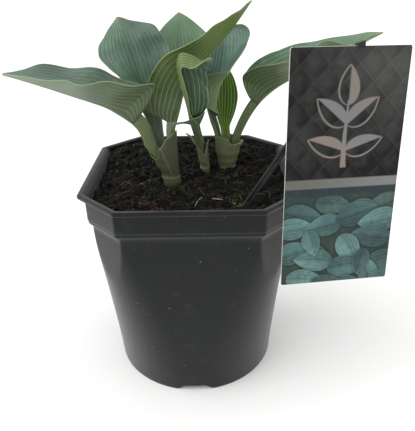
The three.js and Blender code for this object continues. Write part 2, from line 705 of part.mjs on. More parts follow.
export default group;
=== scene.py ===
import math

import bpy
import numpy as np
from mathutils import Matrix, Vector


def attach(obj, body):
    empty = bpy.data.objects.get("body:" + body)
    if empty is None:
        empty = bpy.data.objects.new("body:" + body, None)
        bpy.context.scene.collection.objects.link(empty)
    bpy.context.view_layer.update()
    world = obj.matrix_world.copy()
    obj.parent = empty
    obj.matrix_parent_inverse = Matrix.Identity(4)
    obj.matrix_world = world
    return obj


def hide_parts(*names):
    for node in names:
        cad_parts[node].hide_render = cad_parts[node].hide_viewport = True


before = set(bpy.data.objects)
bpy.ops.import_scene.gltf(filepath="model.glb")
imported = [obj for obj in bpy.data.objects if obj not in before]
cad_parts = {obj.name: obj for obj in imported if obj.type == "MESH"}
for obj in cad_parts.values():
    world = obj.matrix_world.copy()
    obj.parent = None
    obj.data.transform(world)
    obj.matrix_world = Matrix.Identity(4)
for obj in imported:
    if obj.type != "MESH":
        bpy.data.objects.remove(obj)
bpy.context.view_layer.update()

# The viewpoint: a hand-held shot from 32 cm in front of the pot's middle and 28 cm above the table, looking
# down at the plant, and turned by less than a degree. The picture is taller than wide, so the focal length
# and the sensor's size count along its height.
mm = 0.001
height_pixels = 431
focal_pixels = 501
sensor_size = 36
camera_place = np.array([9.96, -323.4, 277.0]) * mm
camera_yaw = math.radians(0.075)
camera_down = math.radians(27.14)
camera_roll = math.radians(-0.78)

camera = bpy.data.objects.new("camera", bpy.data.cameras.new("camera"))
bpy.context.scene.collection.objects.link(camera)
camera.data.sensor_width = sensor_size
camera.data.lens = focal_pixels / height_pixels * sensor_size
camera.data.clip_start = 0.01
camera.matrix_world = (
    Matrix.Translation(camera_place)
    @ Matrix.Rotation(-camera_yaw, 4, "Z")
    @ Matrix.Rotation(math.pi / 2 - camera_down, 4, "X")
    @ Matrix.Rotation(camera_roll, 4, "Z")
)
bpy.context.scene.camera = camera

# The studio: a matt white sweep that runs out of sight, an even white room, a broad soft window light from
# the left, and a weaker one from above and in front.
floor_colour = "#fdfdfc"
room_colour = "#ffffff"
room_strength = 0.82
floor_size = 30
sky_lights = [
    # name, the way that it shines, how wide it looks from the object, strength
    ("sky_from_window", (0.85, 0.2, -0.6), 70, 1.7),
    ("sky_from_above", (-0.3, 0.3, -0.9), 110, 0.5),
]


def linear(colour):
    """Linear red, green, blue and alpha of an sRGB hex colour."""
    srgb = np.array([int(colour[i:i + 2], 16) / 255 for i in (1, 3, 5)])
    value = np.where(srgb <= 0.04045, srgb / 12.92, ((srgb + 0.055) / 1.055) ** 2.4)
    return np.append(value, 1.0)


def feed(node, inputs):
    """Gives a node's sockets, by name or place, a value, a hex colour, an output, or another node, of which
    the first output in use counts. A mix of two colours takes its share at place 0 and the colours at 6
    and 7."""
    for name, value in inputs.items():
        if isinstance(value, bpy.types.Node):
            value = next(output for output in value.outputs if output.enabled)
        if isinstance(value, bpy.types.NodeSocket):
            node.id_data.links.new(value, node.inputs[name])
        else:
            node.inputs[name].default_value = linear(value) if isinstance(value, str) else value


def add_node(tree, kind, inputs=None, **settings):
    """Adds a node with its settings and with what its sockets are given."""
    node = tree.nodes.new("ShaderNode" + kind)
    for name, value in settings.items():
        setattr(node, name, value)
    feed(node, inputs or {})
    return node


def new_material(name):
    """A new material, its node tree and its shader, which is already joined to the output."""
    material = bpy.data.materials.new(name)
    material.use_nodes = True
    tree = material.node_tree
    tree.nodes.clear()
    shader = add_node(tree, "BsdfPrincipled")
    add_node(tree, "OutputMaterial", {"Surface": shader.outputs["BSDF"]})
    return material, tree, shader


def add_piece(name, points, faces, materials, face_material=None):
    """A smooth-shaded mesh object from points in millimetres and faces that list their corners.
    face_material gives each face's place in the list of materials."""
    mesh = bpy.data.meshes.new(name)
    mesh.from_pydata(np.asarray(points, float) * mm, [], [list(face) for face in faces])
    for material in materials:
        mesh.materials.append(material)
    if face_material is not None:
        mesh.polygons.foreach_set("material_index", np.asarray(face_material, np.int32))
    mesh.polygons.foreach_set("use_smooth", np.ones(len(mesh.polygons), bool))
    mesh.update()
    piece = bpy.data.objects.new(name, mesh)
    bpy.context.scene.collection.objects.link(piece)
    return piece


# The sweep: matt white paper, very slightly uneven.
floor_material, tree, shader = new_material("matt_white_sweep")
grain = add_node(tree, "TexNoise", {"Scale": 3.0, "Detail": 2.0})
tone = add_node(tree, "MapRange", {"Value": grain, "To Min": 0.985, "To Max": 1.0})
tint = add_node(tree, "Mix", {0: 1.0, 6: floor_colour, 7: tone}, data_type="RGBA", blend_type="MULTIPLY")
feed(shader, {"Base Color": tint, "Roughness": 0.9})
half_floor = floor_size / 2 / mm
corners = [(x * half_floor, y * half_floor, 0) for x, y in ((-1, -1), (1, -1), (1, 1), (-1, 1))]
add_piece("floor", corners, [(0, 1, 2, 3)], [floor_material])

world = bpy.data.worlds.new("soft_room")
world.use_nodes = True
feed(world.node_tree.nodes["Background"], {"Color": room_colour, "Strength": room_strength})
bpy.context.scene.world = world
bpy.context.scene.view_settings.view_transform = "Standard"

for name, way, spread, strength in sky_lights:
    light = bpy.data.objects.new(name, bpy.data.lights.new(name, "SUN"))
    light.data.angle = math.radians(spread)
    light.data.energy = strength
    light.rotation_euler = Vector(way).to_track_quat("-Z", "Y").to_euler()
    bpy.context.scene.collection.objects.link(light)

# The nursery pot: one thin injection moulding of dark grey polypropylene. Its top is a square with cut
# corners and a turned lip over a collar, and the body below turns round on its way down to a notched foot.
rim_side = 70
rim_corner = 80.6
pot_height = 149
base_radius = 59
wall = 1.3
collar_top = 146
collar_bottom = 130
collar_side = 65.2
collar_corner = 77.7
collar_taper = 0.5
body_top = 127.8
body_side = 62.8
body_corner = 74.2
corner_taper = 2
top_roundness = 0.31
rounding_power = 1.2
floor_top = 5
floor_underside = 3.7
foot_width = 2.6
centre_foot_radius = 9
notch_width = 20
notch_height = 3.6
notch_slope = 6.5
notch_fade = 14
drain_radius = 5
drain_circle = 40
drain_holes = 6
drain_steps = 32
edge_sharpness = 260
pot_colour = "#070909"
pot_grey = "#0c1111"
dust_colour = "#8b8c87"
speck_soil = "#050404"
speck_pale = "#6b6b66"


def ease(x):
    """Smooth step from 0 to 1: three times the square less twice the cube of x, held between 0 and 1."""
    x = np.clip(x, 0, 1)
    return x * x * (3 - 2 * x)


def mix(a, b, t):
    """The value at share t of the way from a to b."""
    return a + (b - a) * t


def plan_reach(angle, side, corner, arc):
    """Distance from the axis to the pot's outline: four sides that arcs join, less four cut corners. The
    reach of sides and cut corners is joined by their summed high powers, so no edge is quite sharp."""
    away = np.abs(np.mod(angle + math.pi / 4, math.pi / 2) - math.pi / 4)
    middle = side - arc
    lean = middle * (np.cos(away) + np.sin(away))
    on_arc = lean + np.sqrt(np.maximum(lean ** 2 - 2 * middle ** 2 + arc ** 2, 0))
    sides = np.where(side * np.tan(away) <= middle, side / np.cos(away), on_arc)
    cut = corner / np.cos(math.pi / 4 - away)
    return sides * (1 + (sides / cut) ** edge_sharpness) ** (-1 / edge_sharpness)


def plan_angles():
    """Angles once around the pot, closest together where its flat sides meet the cut corners. Each eighth
    has three stretches of evenly spaced angles, listed in degrees."""
    eighth = np.concatenate([np.linspace(start, end, count, endpoint=False)
                             for start, end, count in ((0, 30, 14), (30, 37.5, 21), (37.5, 45, 4))])
    quarter = np.concatenate([eighth, 90 - np.concatenate([[45], eighth[:0:-1]])])
    return np.radians(np.concatenate([quarter + turn for turn in (0, 90, 180, 270)]))


def pot_ring(z, side, corner, arc, angle):
    """Points of the pot's outline at height z."""
    r = plan_reach(angle, side, corner, arc)
    return np.stack([r * np.cos(angle), r * np.sin(angle), np.broadcast_to(z, r.shape)], axis=-1)


def round_ring(z, radius, angle):
    """Points of a circle at height z: the four sides are all arc, and no corner is cut."""
    return pot_ring(z, radius, 2 * radius, radius, angle)


def body_ring(z, inset, angle, height=None):
    """Outline of the tapering body at height z: flat-sided at the top, rounder all the way down, and a
    circle at the foot. Where a height is given as well, that outline lies there."""
    up = z / body_top
    side = mix(base_radius, body_side, up)
    corner = body_corner - corner_taper * (1 - up)
    roundness = mix(1, top_roundness, up ** rounding_power)
    arc = max(side * roundness - inset, 0)
    return pot_ring(z if height is None else height, side - inset, corner - inset, arc, angle)


def rounded(start, corner, end, steps=5):
    """Profile points from start to end, curving past a corner: a parabola with the corner as its handle."""
    t = np.linspace(0, 1, steps)[:, None]
    start, corner, end = (np.array(p, float) for p in (start, corner, end))
    return (1 - t) ** 2 * start + 2 * t * (1 - t) * corner + t ** 2 * end


def grid_faces(rows, columns, around=False, first=0):
    """Four-sided faces of a grid of points, row by row; around closes each row on itself."""
    row, column = np.meshgrid(np.arange(rows - 1), np.arange(columns - (not around)), indexing="ij")
    a = first + row * columns + column
    b = first + row * columns + (column + 1) % columns
    return np.stack([a, b, b + columns, a + columns], axis=-1).reshape(-1, 4)


def closing_fan(ring, middle, flip=False):
    """Triangles from a ring of point numbers to one in its middle."""
    after = np.roll(ring, -1)
    fan = np.stack([ring, after, np.full_like(ring, middle)], axis=-1)
    return fan[:, ::-1] if flip else fan


def read_mesh(items, name, width=1):
    """One property of all of a mesh's faces, edges or corners, as an array."""
    values = np.zeros(len(items) * width)
    items.foreach_get(name, values)
    return values.reshape(-1, width) if width > 1 else values


# Each profile point is a height and how far the outline lies outside the collar's own or, on the lip,
# outside the rim's. The profiles run up the outside, over the lip and down inside.
collar_profile = np.concatenate([
    # step out over the body, narrow band, small ridge, collar's wall and turn out under the lip
    rounded((body_top + 0.9, -1.5), (collar_bottom - 0.1, -0.6),
            (collar_bottom + 0.2, -collar_taper - 0.1)),
    np.linspace((collar_bottom + 0.9, -collar_taper), (collar_bottom + 1.3, -collar_taper), 2),
    rounded((collar_bottom + 1.6, -collar_taper), (collar_bottom + 2.0, -collar_taper),
            (collar_bottom + 2.1, -collar_taper + 0.3)),
    np.linspace((collar_bottom + 3, -collar_taper + 0.35), (collar_top - 1.4, -0.02), 6),
    rounded((collar_top - 0.8, 0), (collar_top, 0), (collar_top + 0.1, 0.8)),
])
lip_profile = np.concatenate([
    # lower, upper and inner edge
    rounded((collar_top + 0.2, -1.2), (collar_top + 0.2, 0), (collar_top + 1, 0)),
    rounded((pot_height - 1.0, 0), (pot_height, 0), (pot_height, -1.1)),
    rounded((pot_height, -2.5), (pot_height, -3.6), (pot_height - 1.1, -4.3)),
])
inner_profile = np.concatenate([
    # turn down under the lip, and the collar's inner wall
    rounded((collar_top + 0.2, 0.6 - wall), (collar_top - 0.6, -wall), (collar_top - 1.4, -wall)),
    np.linspace((collar_top - 4, -wall - 0.1), (collar_bottom + 0.6, -collar_taper - wall), 4),
])
body_heights = np.concatenate([np.linspace(1.6, 74, 24), np.linspace(76.5, 112, 20),
                               np.linspace(115, 126.6, 5)])

# The foot ring has four arched notches, and the lowest part of the body rises over them.
angles = plan_angles()
foot_inner = base_radius - foot_width
notch_across = np.abs((np.mod(angles + math.pi / 4, math.pi / 2) - math.pi / 4) * base_radius)
notch = notch_height * ease((notch_width / 2 + notch_slope / 2 - notch_across) / notch_slope)

base_profile = [
    # height and radius: centre foot, floor's underside, foot ring's inner side, sole and outer side
    (0, centre_foot_radius - 0.4), (0.4, centre_foot_radius),
    (floor_underside - 0.4, centre_foot_radius + 0.1), (floor_underside, centre_foot_radius + 0.6),
    (floor_underside, centre_foot_radius + 2.6), (floor_underside, foot_inner - 3.2),
    (floor_underside, foot_inner - 1.2), (mix(floor_underside - 0.05, notch, 0.3), foot_inner - 0.3),
    (notch + 0.02, foot_inner + 0.1), (notch, foot_inner + 0.5),
    (notch, base_radius - 0.7), (notch + 0.15, base_radius - 0.2), (notch + 0.6, base_radius),
]
rings = [round_ring(z, radius, angles) for z, radius in base_profile]
rings += [body_ring(z, 0, angles, z + notch * max(1 - z / notch_fade, 0)) for z in body_heights]
for profile, side, corner in ((collar_profile, collar_side, collar_corner),
                              (lip_profile, rim_side, rim_corner),
                              (inner_profile, collar_side, collar_corner)):
    rings += [pot_ring(z, side + out, corner + out, 0, angles) for z, out in profile]
rings += [body_ring(max(z, floor_top + 1), wall, angles) for z in body_heights[::-4][:-1]]
rings += [round_ring(floor_top, radius, angles) for radius in (base_radius - wall - 1, base_radius / 2)]
around = len(angles)
points = np.concatenate([*rings, [[0, 0, 0]], [[0, 0, floor_top]]])
last_ring = np.arange(around) + (len(rings) - 1) * around
faces = [
    *grid_faces(len(rings), around, around=True),
    *closing_fan(np.arange(around), len(points) - 2, flip=True),
    *closing_fan(last_ring, len(points) - 1),
]

# Polypropylene, moulded: a dense satin grey that picks up a broad soft shine, slightly uneven, with faint
# scuffs that run down the wall, a little grey dust and specks of splashed soil.
pot_material, tree, shader = new_material("moulded_polypropylene")
place = add_node(tree, "TexCoord").outputs["Object"]
cloud = add_node(tree, "TexNoise", {"Vector": place, "Scale": 1 / (35 * mm), "Detail": 4.0,
                                    "Roughness": 0.6})
along_wall = add_node(tree, "Mapping", {"Vector": place, "Scale": (1, 1, 0.08)})
scuff = add_node(tree, "TexNoise", {"Vector": along_wall, "Scale": 1 / (1.2 * mm), "Detail": 3.0})
skin = add_node(tree, "TexNoise", {"Vector": place, "Scale": 1 / (0.7 * mm), "Detail": 2.0})
base = add_node(tree, "Mix", {0: cloud, 6: pot_colour, 7: pot_grey}, data_type="RGBA")
dust_cloud = add_node(tree, "TexNoise", {"Vector": place, "Scale": 1 / (9 * mm), "Detail": 6.0,
                                         "Roughness": 0.75})
dust_amount = add_node(tree, "MapRange", {
    "Value": dust_cloud, "From Min": 0.56, "From Max": 0.85, "To Min": 0.0, "To Max": 0.1})
dusty = add_node(tree, "Mix", {0: dust_amount, 6: base, 7: dust_colour}, data_type="RGBA")
specked = dusty
for cell, reach, rarity, colour in (
        # size of the cells that may hold one speck each, its radius in cells, share of cells left bare
        (7, 0.075, 0.78, speck_pale),
        (5, 0.12, 0.6, speck_soil)):
    cells = add_node(tree, "TexVoronoi", {"Vector": place, "Scale": 1 / (cell * mm)})
    near = add_node(tree, "MapRange", {"Value": cells.outputs["Distance"], "From Min": reach * 0.6,
                                       "From Max": reach, "To Min": 1.0, "To Max": 0.0})
    parts = add_node(tree, "SeparateXYZ", {0: cells.outputs["Color"]})
    chosen = add_node(tree, "Math", {0: parts.outputs["X"], 1: rarity}, operation="GREATER_THAN")
    share = add_node(tree, "Math", {0: near, 1: chosen}, operation="MULTIPLY")
    specked = add_node(tree, "Mix", {0: share, 6: specked, 7: colour}, data_type="RGBA")
gloss = add_node(tree, "MapRange", {"Value": scuff, "To Min": 0.34, "To Max": 0.46})
rough = add_node(tree, "Math", {0: gloss, 1: dust_amount}, operation="ADD")
dent = add_node(tree, "Math", {0: scuff, 1: skin}, operation="ADD")
bump = add_node(tree, "Bump", {"Height": dent, "Strength": 0.1, "Distance": 0.1 * mm})
feed(shader, {"Base Color": specked, "Roughness": rough, "Normal": bump, "Specular IOR Level": 0.2,
              "Sheen Weight": 0.24, "Sheen Roughness": 0.45})

# The drain holes go straight through the floor, in a circle around the centre foot.
pot = add_piece("nursery_pot", points, faces, [pot_material])
turn = np.linspace(0, 2 * math.pi, drain_steps, endpoint=False)
drill_points = []
drill_faces = []
for hole in range(drain_holes):
    angle = (hole + 0.5) * 2 * math.pi / drain_holes
    x = drain_circle * math.cos(angle) + drain_radius * np.cos(turn)
    y = drain_circle * math.sin(angle) + drain_radius * np.sin(turn)
    drill_points += [np.stack([x, y, np.full(drain_steps, z)], axis=-1)
                     for z in (floor_underside - 1, floor_top + 1)]
    low = np.arange(drain_steps) + 2 * drain_steps * hole
    drill_faces += [*grid_faces(2, drain_steps, around=True, first=low[0]), low[::-1], low + drain_steps]
drill = add_piece("drain_drill", np.concatenate(drill_points), drill_faces, [])
cut = pot.modifiers.new("drain_holes", "BOOLEAN")
cut.operation = "DIFFERENCE"
cut.object = drill
with bpy.context.temp_override(object=pot, active_object=pot):
    bpy.ops.object.modifier_apply(modifier=cut.name)
bpy.data.objects.remove(drill)

# The holes are punched, so their walls meet the floor at sharp edges: those that only one of the walls'
# faces has.
pot_faces = pot.data.polygons
middles = read_mesh(pot_faces, "center", 3) / mm
off_circle = np.abs(np.hypot(middles[:, 0], middles[:, 1]) - drain_circle)
upright = np.abs(read_mesh(pot_faces, "normal", 3)[:, 2]) < 0.5
hole_walls = upright & (middles[:, 2] < floor_top) & (off_circle < drain_radius + 1)
wall_corners = np.repeat(hole_walls, read_mesh(pot_faces, "loop_total").astype(int))
wall_edges = read_mesh(pot.data.loops, "edge_index").astype(int)[wall_corners]
times_met = np.bincount(wall_edges, minlength=len(pot.data.edges))
pot.data.edges.foreach_set("use_edge_sharp", times_met == 1)
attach(pot, "root")
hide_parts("pot")

# The soil: moist black peat mix, pressed in up to the rim at the back and lower at the front. Its surface
# is all crumbs of three sizes, the finer ones sitting on the coarser.
soil_level = 143
soil_gap = 2.1
soil_cells = 290
crumb_bed = 2.2
crumb_layers = [
    # size, height, seed of its places
    (5.2, 2.4, 3), (2.4, 1.5, 4), (1.2, 0.8, 5),
]
crumb_lattice = 256
soil_black = "#080706"
soil_brown = "#13100d"
soil_peat = "#352f25"


def soil_height(x, y):
    """Height of the settled soil: a low rise in the middle, lumps, and a heap against the back wall."""
    far = np.hypot(x, y) / rim_side
    lumps = np.sin(x * 0.19 + 1.3) * np.cos(y * 0.23 - 0.4) + 0.6 * np.sin(x * 0.41 - y * 0.37)
    heap = 4.4 * ease((y - 8) / 52) - 1.6 * ease((-x - 40) / 25) * ease((50 - y) / 30)
    return soil_level + 1.2 * (1 - far * far) + 1.1 * lumps + heap


def crumbs(x, y, cell, seed):
    """Height from 0 to 1 of crumbs packed side by side: in each cell of a square lattice one round lump at
    a random place and of a random size, and the highest of the nine nearest lumps counts."""
    random = np.random.default_rng(seed).uniform(0, 1, (3, crumb_lattice, crumb_lattice))
    i, j = np.floor(x / cell).astype(int), np.floor(y / cell).astype(int)
    height = np.zeros_like(x)
    for di in (-1, 0, 1):
        for dj in (-1, 0, 1):
            right, back, size = random[:, (i + di) % crumb_lattice, (j + dj) % crumb_lattice]
            away = np.hypot(x / cell - i - di - right, y / cell - j - dj - back)
            reach = mix(0.3, 0.95, size)
            height = np.maximum(height, np.sqrt(np.maximum(1 - (away / reach) ** 2, 0)) * reach)
    return height


def crumbled(x, y):
    """The soil's height with its crumbs, of which each size is added to the coarser ones."""
    height = soil_height(x, y) - crumb_bed
    for size, rise, seed in crumb_layers:
        height = height + rise * crumbs(x, y, size, seed)
    return height


def soil_reach(angle, inset=0):
    """Distance from the axis to the soil's edge, less an inset."""
    return plan_reach(angle, collar_side - soil_gap - inset, collar_corner - soil_gap - inset, 0)


def grid_border(rows, columns):
    """Point numbers once around the border of a grid of points."""
    index = np.arange(rows * columns).reshape(rows, columns)
    return np.concatenate([index[0, :-1], index[:-1, -1], index[-1, :0:-1], index[:0:-1, 0]])


def joining_faces(ring, other):
    """Four-sided faces between two rings of point numbers."""
    return np.stack([ring, other, np.roll(other, -1), np.roll(ring, -1)], axis=-1)


# The top is a square grid of points drawn out onto the pot's plan, and its edge runs down the wall.
u, v = np.meshgrid(np.linspace(-1, 1, soil_cells), np.linspace(-1, 1, soil_cells))
around_axis = np.arctan2(v, u)
ring_share = np.maximum(np.abs(u), np.abs(v))
reach = ring_share * soil_reach(around_axis)
x, y = reach * np.cos(around_axis), reach * np.sin(around_axis)
edge_drop = 1.2 * ease((ring_share - 0.95) / 0.05)
top = np.stack([x, y, crumbled(x, y) - edge_drop], axis=-1).reshape(-1, 3)
rim = grid_border(soil_cells, soil_cells)
rim_angle = around_axis.reshape(-1)[rim]
soil_rings = [
    *[pot_ring(z, collar_side - soil_gap, collar_corner - soil_gap, 0, rim_angle) for z in (136, 131)],
    *[body_ring(z, soil_gap + 0.1, rim_angle) for z in (body_top, 110, 95, 84, 60, 30)],
    round_ring(floor_top + 1, base_radius - soil_gap - 0.6, rim_angle),
]
points = np.concatenate([top, *soil_rings, [[0, 0, floor_top + 1]]])
highest_ring = len(top) + np.arange(len(rim))
lowest_ring = highest_ring + (len(soil_rings) - 1) * len(rim)
faces = [
    *grid_faces(soil_cells, soil_cells),
    *joining_faces(rim, highest_ring),
    *grid_faces(len(soil_rings), len(rim), around=True, first=len(top))[:, ::-1],
    *closing_fan(lowest_ring, len(points) - 1, flip=True),
]

# Moist peat: almost black, matt, with browner crumbs and a very faint damp glint.
soil_material, tree, shader = new_material("moist_peat")
place = add_node(tree, "TexCoord").outputs["Object"]
patch = add_node(tree, "TexNoise", {"Vector": place, "Scale": 1 / (14 * mm), "Detail": 3.0})
crumb = add_node(tree, "TexVoronoi", {"Vector": place, "Scale": 1 / (1.6 * mm)})
grit = add_node(tree, "TexNoise", {"Vector": place, "Scale": 1 / (0.5 * mm), "Detail": 5.0,
                                   "Roughness": 0.7})
crumb_tone = add_node(tree, "MapRange", {"Value": crumb.outputs["Color"], "From Min": 0.3,
                                         "From Max": 0.95})
amount = add_node(tree, "Math", {0: crumb_tone, 1: patch}, operation="MULTIPLY")
brown = add_node(tree, "Mix", {0: amount, 6: soil_black, 7: soil_brown}, data_type="RGBA")
fleck = add_node(tree, "MapRange", {
    "Value": grit, "From Min": 0.6, "From Max": 0.8, "To Min": 0.0, "To Max": 0.55})
flecked = add_node(tree, "Mix", {0: fleck, 6: brown, 7: soil_peat}, data_type="RGBA")
bump = add_node(tree, "Bump", {"Height": grit, "Strength": 1.0, "Distance": 0.8 * mm})
feed(shader, {"Base Color": flecked, "Normal": bump, "Roughness": 0.8, "Specular IOR Level": 0.25})

soil = add_piece("soil_bed", points, faces, [soil_material])
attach(soil, "root")
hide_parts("soil")

# Loose crumbs of peat and bark on the soil, from 0.8 to 4 mm across. Each is a twenty-sided lump with its
# corners moved at random, in the peat's own tones; a few are reddish bark or grey-green moss.
crumb_count = 3400
crumb_least = 0.4
crumb_most = 1.9
crumb_fineness = 0.45
crumbs_out_to = 0.985
crumb_tones = ["#080707", "#0f0d0c", "#191511", "#292019", "#3f3224", "#2f3323"]
crumb_shares = [0.3, 0.28, 0.2, 0.12, 0.05, 0.05]
bark_red = "#5a3324"
moss_green = "#4d5a2c"
bark, moss = len(crumb_tones), len(crumb_tones) + 1
crumb_groups = [
    # middles, crumbs at each, how far they spread, least and most half width, tone
    ([(-31, -46), (-26.4, -48.8), (-21.2, -53.1)], 9, 2.4, 0.5, 1.3, bark),
    ([(25.6, -43.5), (27.8, -47.8), (30.1, -50.7)], 22, 2.0, 0.35, 0.8, moss),
    ([(-14, 58), (19, 58), (-50, 36), (-3, 60), (34, 56)], 26, 5.0, 0.8, 2.1, 1),
]


def store_at_points(piece, name, values):
    """Stores a number or a linear colour for each point of a piece, which its material reads by name."""
    values = np.asarray(values, np.float32)
    kind, field = ("FLOAT", "value") if values.ndim == 1 else ("FLOAT_COLOR", "color")
    layer = piece.data.attributes.new(name, kind, "POINT")
    layer.data.foreach_set(field, values.reshape(-1))


rng = np.random.default_rng(11)

# The lump: a regular solid of twelve corners and twenty triangles, with its corners at distance one.
golden = (1 + math.sqrt(5)) / 2
lump = np.array([(-1, golden, 0), (1, golden, 0), (-1, -golden, 0), (1, -golden, 0), (0, -1, golden),
                 (0, 1, golden), (0, -1, -golden), (0, 1, -golden), (golden, 0, -1), (golden, 0, 1),
                 (-golden, 0, -1), (-golden, 0, 1)]) / math.hypot(1, golden)
lump_faces = np.array([(0, 11, 5), (0, 5, 1), (0, 1, 7), (0, 7, 10), (0, 10, 11), (1, 5, 9), (5, 11, 4),
                       (11, 10, 2), (10, 7, 6), (7, 1, 8), (3, 9, 4), (3, 4, 2), (3, 2, 6), (3, 6, 8),
                       (3, 8, 9), (4, 9, 5), (2, 4, 11), (6, 2, 10), (8, 6, 7), (9, 8, 1)])

# Most lie evenly over the soil, and the groups around their middles.
angle = rng.uniform(0, 2 * math.pi, crumb_count)
share = np.sqrt(rng.uniform(0, 1, crumb_count)) * crumbs_out_to
reach = share * soil_reach(angle, 1)
spots = np.stack([reach * np.cos(angle), reach * np.sin(angle)], axis=-1)
size = np.minimum(crumb_least * rng.uniform(0, 1, crumb_count) ** -crumb_fineness, crumb_most)
tone = rng.choice(len(crumb_tones), crumb_count, p=crumb_shares)
extra_spots, extra_size, extra_tone = [], [], []
for centres, count, spread, low, high, kind in crumb_groups:
    for centre in centres:
        extra_spots.append(np.array(centre) + rng.normal(0, spread, (count, 2)))
        extra_size.append(rng.uniform(low, high, count))
        extra_tone.append(np.full(count, kind))
spots = np.concatenate([spots, *extra_spots])
size = np.concatenate([size, *extra_size])
tone = np.concatenate([tone, *extra_tone])
over = np.hypot(*spots.T) / soil_reach(np.arctan2(spots[:, 1], spots[:, 0]), 1)
spots = spots / np.maximum(over, 1)[:, None]

# Each lump is stretched, knocked about, turned at random and sunk a little into the soil.
stretch = rng.uniform(0.6, 1.35, (len(size), 1, 3))
knocked = lump + rng.normal(0, 0.14, (len(size), *lump.shape))
spin = np.linalg.qr(rng.normal(0, 1, (len(size), 3, 3)))[0]
spin = spin * np.sign(np.linalg.det(spin))[:, None, None]
shaped = np.einsum("nij,nkj->nki", spin, knocked * stretch) * size[:, None, None]
height = crumbled(spots[:, 0], spots[:, 1]) + 0.3 * size
shaped += np.concatenate([spots, height[:, None]], axis=1)[:, None]
faces = (lump_faces + len(lump) * np.arange(len(size))[:, None, None]).reshape(-1, 3)

# The same damp peat, with each crumb's own tone.
crumb_material, tree, shader = new_material("loose_peat_and_bark")
place = add_node(tree, "TexCoord").outputs["Object"]
own_tone = add_node(tree, "Attribute", attribute_name="tone").outputs["Color"]
grit = add_node(tree, "TexNoise", {"Vector": place, "Scale": 1 / (0.4 * mm), "Detail": 4.0,
                                   "Roughness": 0.7})
shade = add_node(tree, "MapRange", {"Value": grit, "From Min": 0.3, "From Max": 0.7,
                                    "To Min": 0.6, "To Max": 1.35})
toned = add_node(tree, "Mix", {0: 1.0, 6: own_tone, 7: shade}, data_type="RGBA", blend_type="MULTIPLY")
bump = add_node(tree, "Bump", {"Height": grit, "Strength": 0.8, "Distance": 0.4 * mm})
feed(shader, {"Base Color": toned, "Normal": bump, "Roughness": 0.78, "Specular IOR Level": 0.25})

loose = add_piece("loose_crumbs", shaped.reshape(-1, 3), faces, [crumb_material])
palette = np.array([linear(colour) for colour in [*crumb_tones, bark_red, moss_green]])
store_at_points(loose, "tone", np.repeat(palette[tone], len(lump), axis=0))
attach(loose, "root")

# Fine roots and straws that stick out of the soil: thin round threads in gentle curves, most of them pale
# brown, with a bleached straw and a few pale curls among the plants and in front.
thread_count = 520
thread_points = 9
thread_sides = 4
threads_out_to = 0.9
thread_tones = ["#2a211a", "#4a3b2a", "#6f5c42", "#3a4028"]
thread_shares = [0.4, 0.35, 0.15, 0.1]
straw_tone = "#a89a7c"
straws = [
    # start, heading, turn, length, radius, lift
    ((7, -34), -1.6, -0.35, 20, 0.32, 1.6),
    ((12.6, -42.3), -0.9, 1.5, 8, 0.4, 1.4),
    ((-38, -20), 0.4, 0.9, 12, 0.2, 1.2),
    ((-30, -8), -0.8, -1.2, 10, 0.18, 1.4),
]


def threads(start, heading, turn, length, radius, lift):
    """Points of round threads that lie on the soil, one row per thread and step.
    Each runs the way of its heading, which turns evenly, and arches up in the middle by its lift."""
    share = np.linspace(0, 1, thread_points)
    step = (length / (thread_points - 1))[:, None]
    way = heading[:, None] + turn[:, None] * share
    x = start[:, :1] + np.cumsum(np.cos(way) * step, axis=1)
    y = start[:, 1:] + np.cumsum(np.sin(way) * step, axis=1)
    inward = 1 / np.maximum(np.hypot(x, y) / soil_reach(np.arctan2(y, x), 1), 1)
    x, y = x * inward, y * inward
    z = soil_height(x, y) + 0.6 + lift[:, None] * np.sin(math.pi * share)
    around = np.arange(thread_sides) * 2 * math.pi / thread_sides
    thin = radius[:, None] * np.sqrt(np.maximum(1 - (2 * share - 1) ** 6, 0.05))
    side_way = np.stack([-np.sin(way), np.cos(way), np.zeros_like(way)], axis=-1)
    middle = np.stack([x, y, z], axis=-1)
    upward = np.array([0.0, 0.0, 1.0])
    return (middle[:, :, None] + thin[..., None, None] * (
        np.cos(around)[:, None] * side_way[:, :, None] + np.sin(around)[:, None] * upward))


angle = rng.uniform(0, 2 * math.pi, thread_count)
share = np.sqrt(rng.uniform(0, 1, thread_count)) * threads_out_to
reach = share * soil_reach(angle)
start = np.stack([reach * np.cos(angle), reach * np.sin(angle)], axis=-1)
heading = rng.uniform(0, 2 * math.pi, thread_count)
turn = rng.normal(0, 1.2, thread_count)
length = rng.uniform(3, 13, thread_count)
radius = rng.uniform(0.08, 0.2, thread_count)
lift = rng.uniform(-0.4, 1.8, thread_count)
tone = rng.choice(len(thread_tones), thread_count, p=thread_shares)

# The straws are added as the last threads, in the tone past the listed ones.
start = np.vstack([start, [straw[0] for straw in straws]])
heading, turn, length, radius, lift = (
    np.append(values, [straw[place] for straw in straws])
    for place, values in enumerate((heading, turn, length, radius, lift), start=1))
tone = np.append(tone, np.full(len(straws), len(thread_tones)))
grown = threads(start, heading, turn, length, radius, lift)
each = grid_faces(thread_points, thread_sides, around=True)
near_end = np.arange(thread_sides)[::-1]
far_end = np.arange(thread_sides) + (thread_points - 1) * thread_sides
step = np.arange(len(start))[:, None, None] * thread_points * thread_sides
faces = np.concatenate([(part + step).reshape(-1, 4) for part in (each, np.array([near_end, far_end]))])

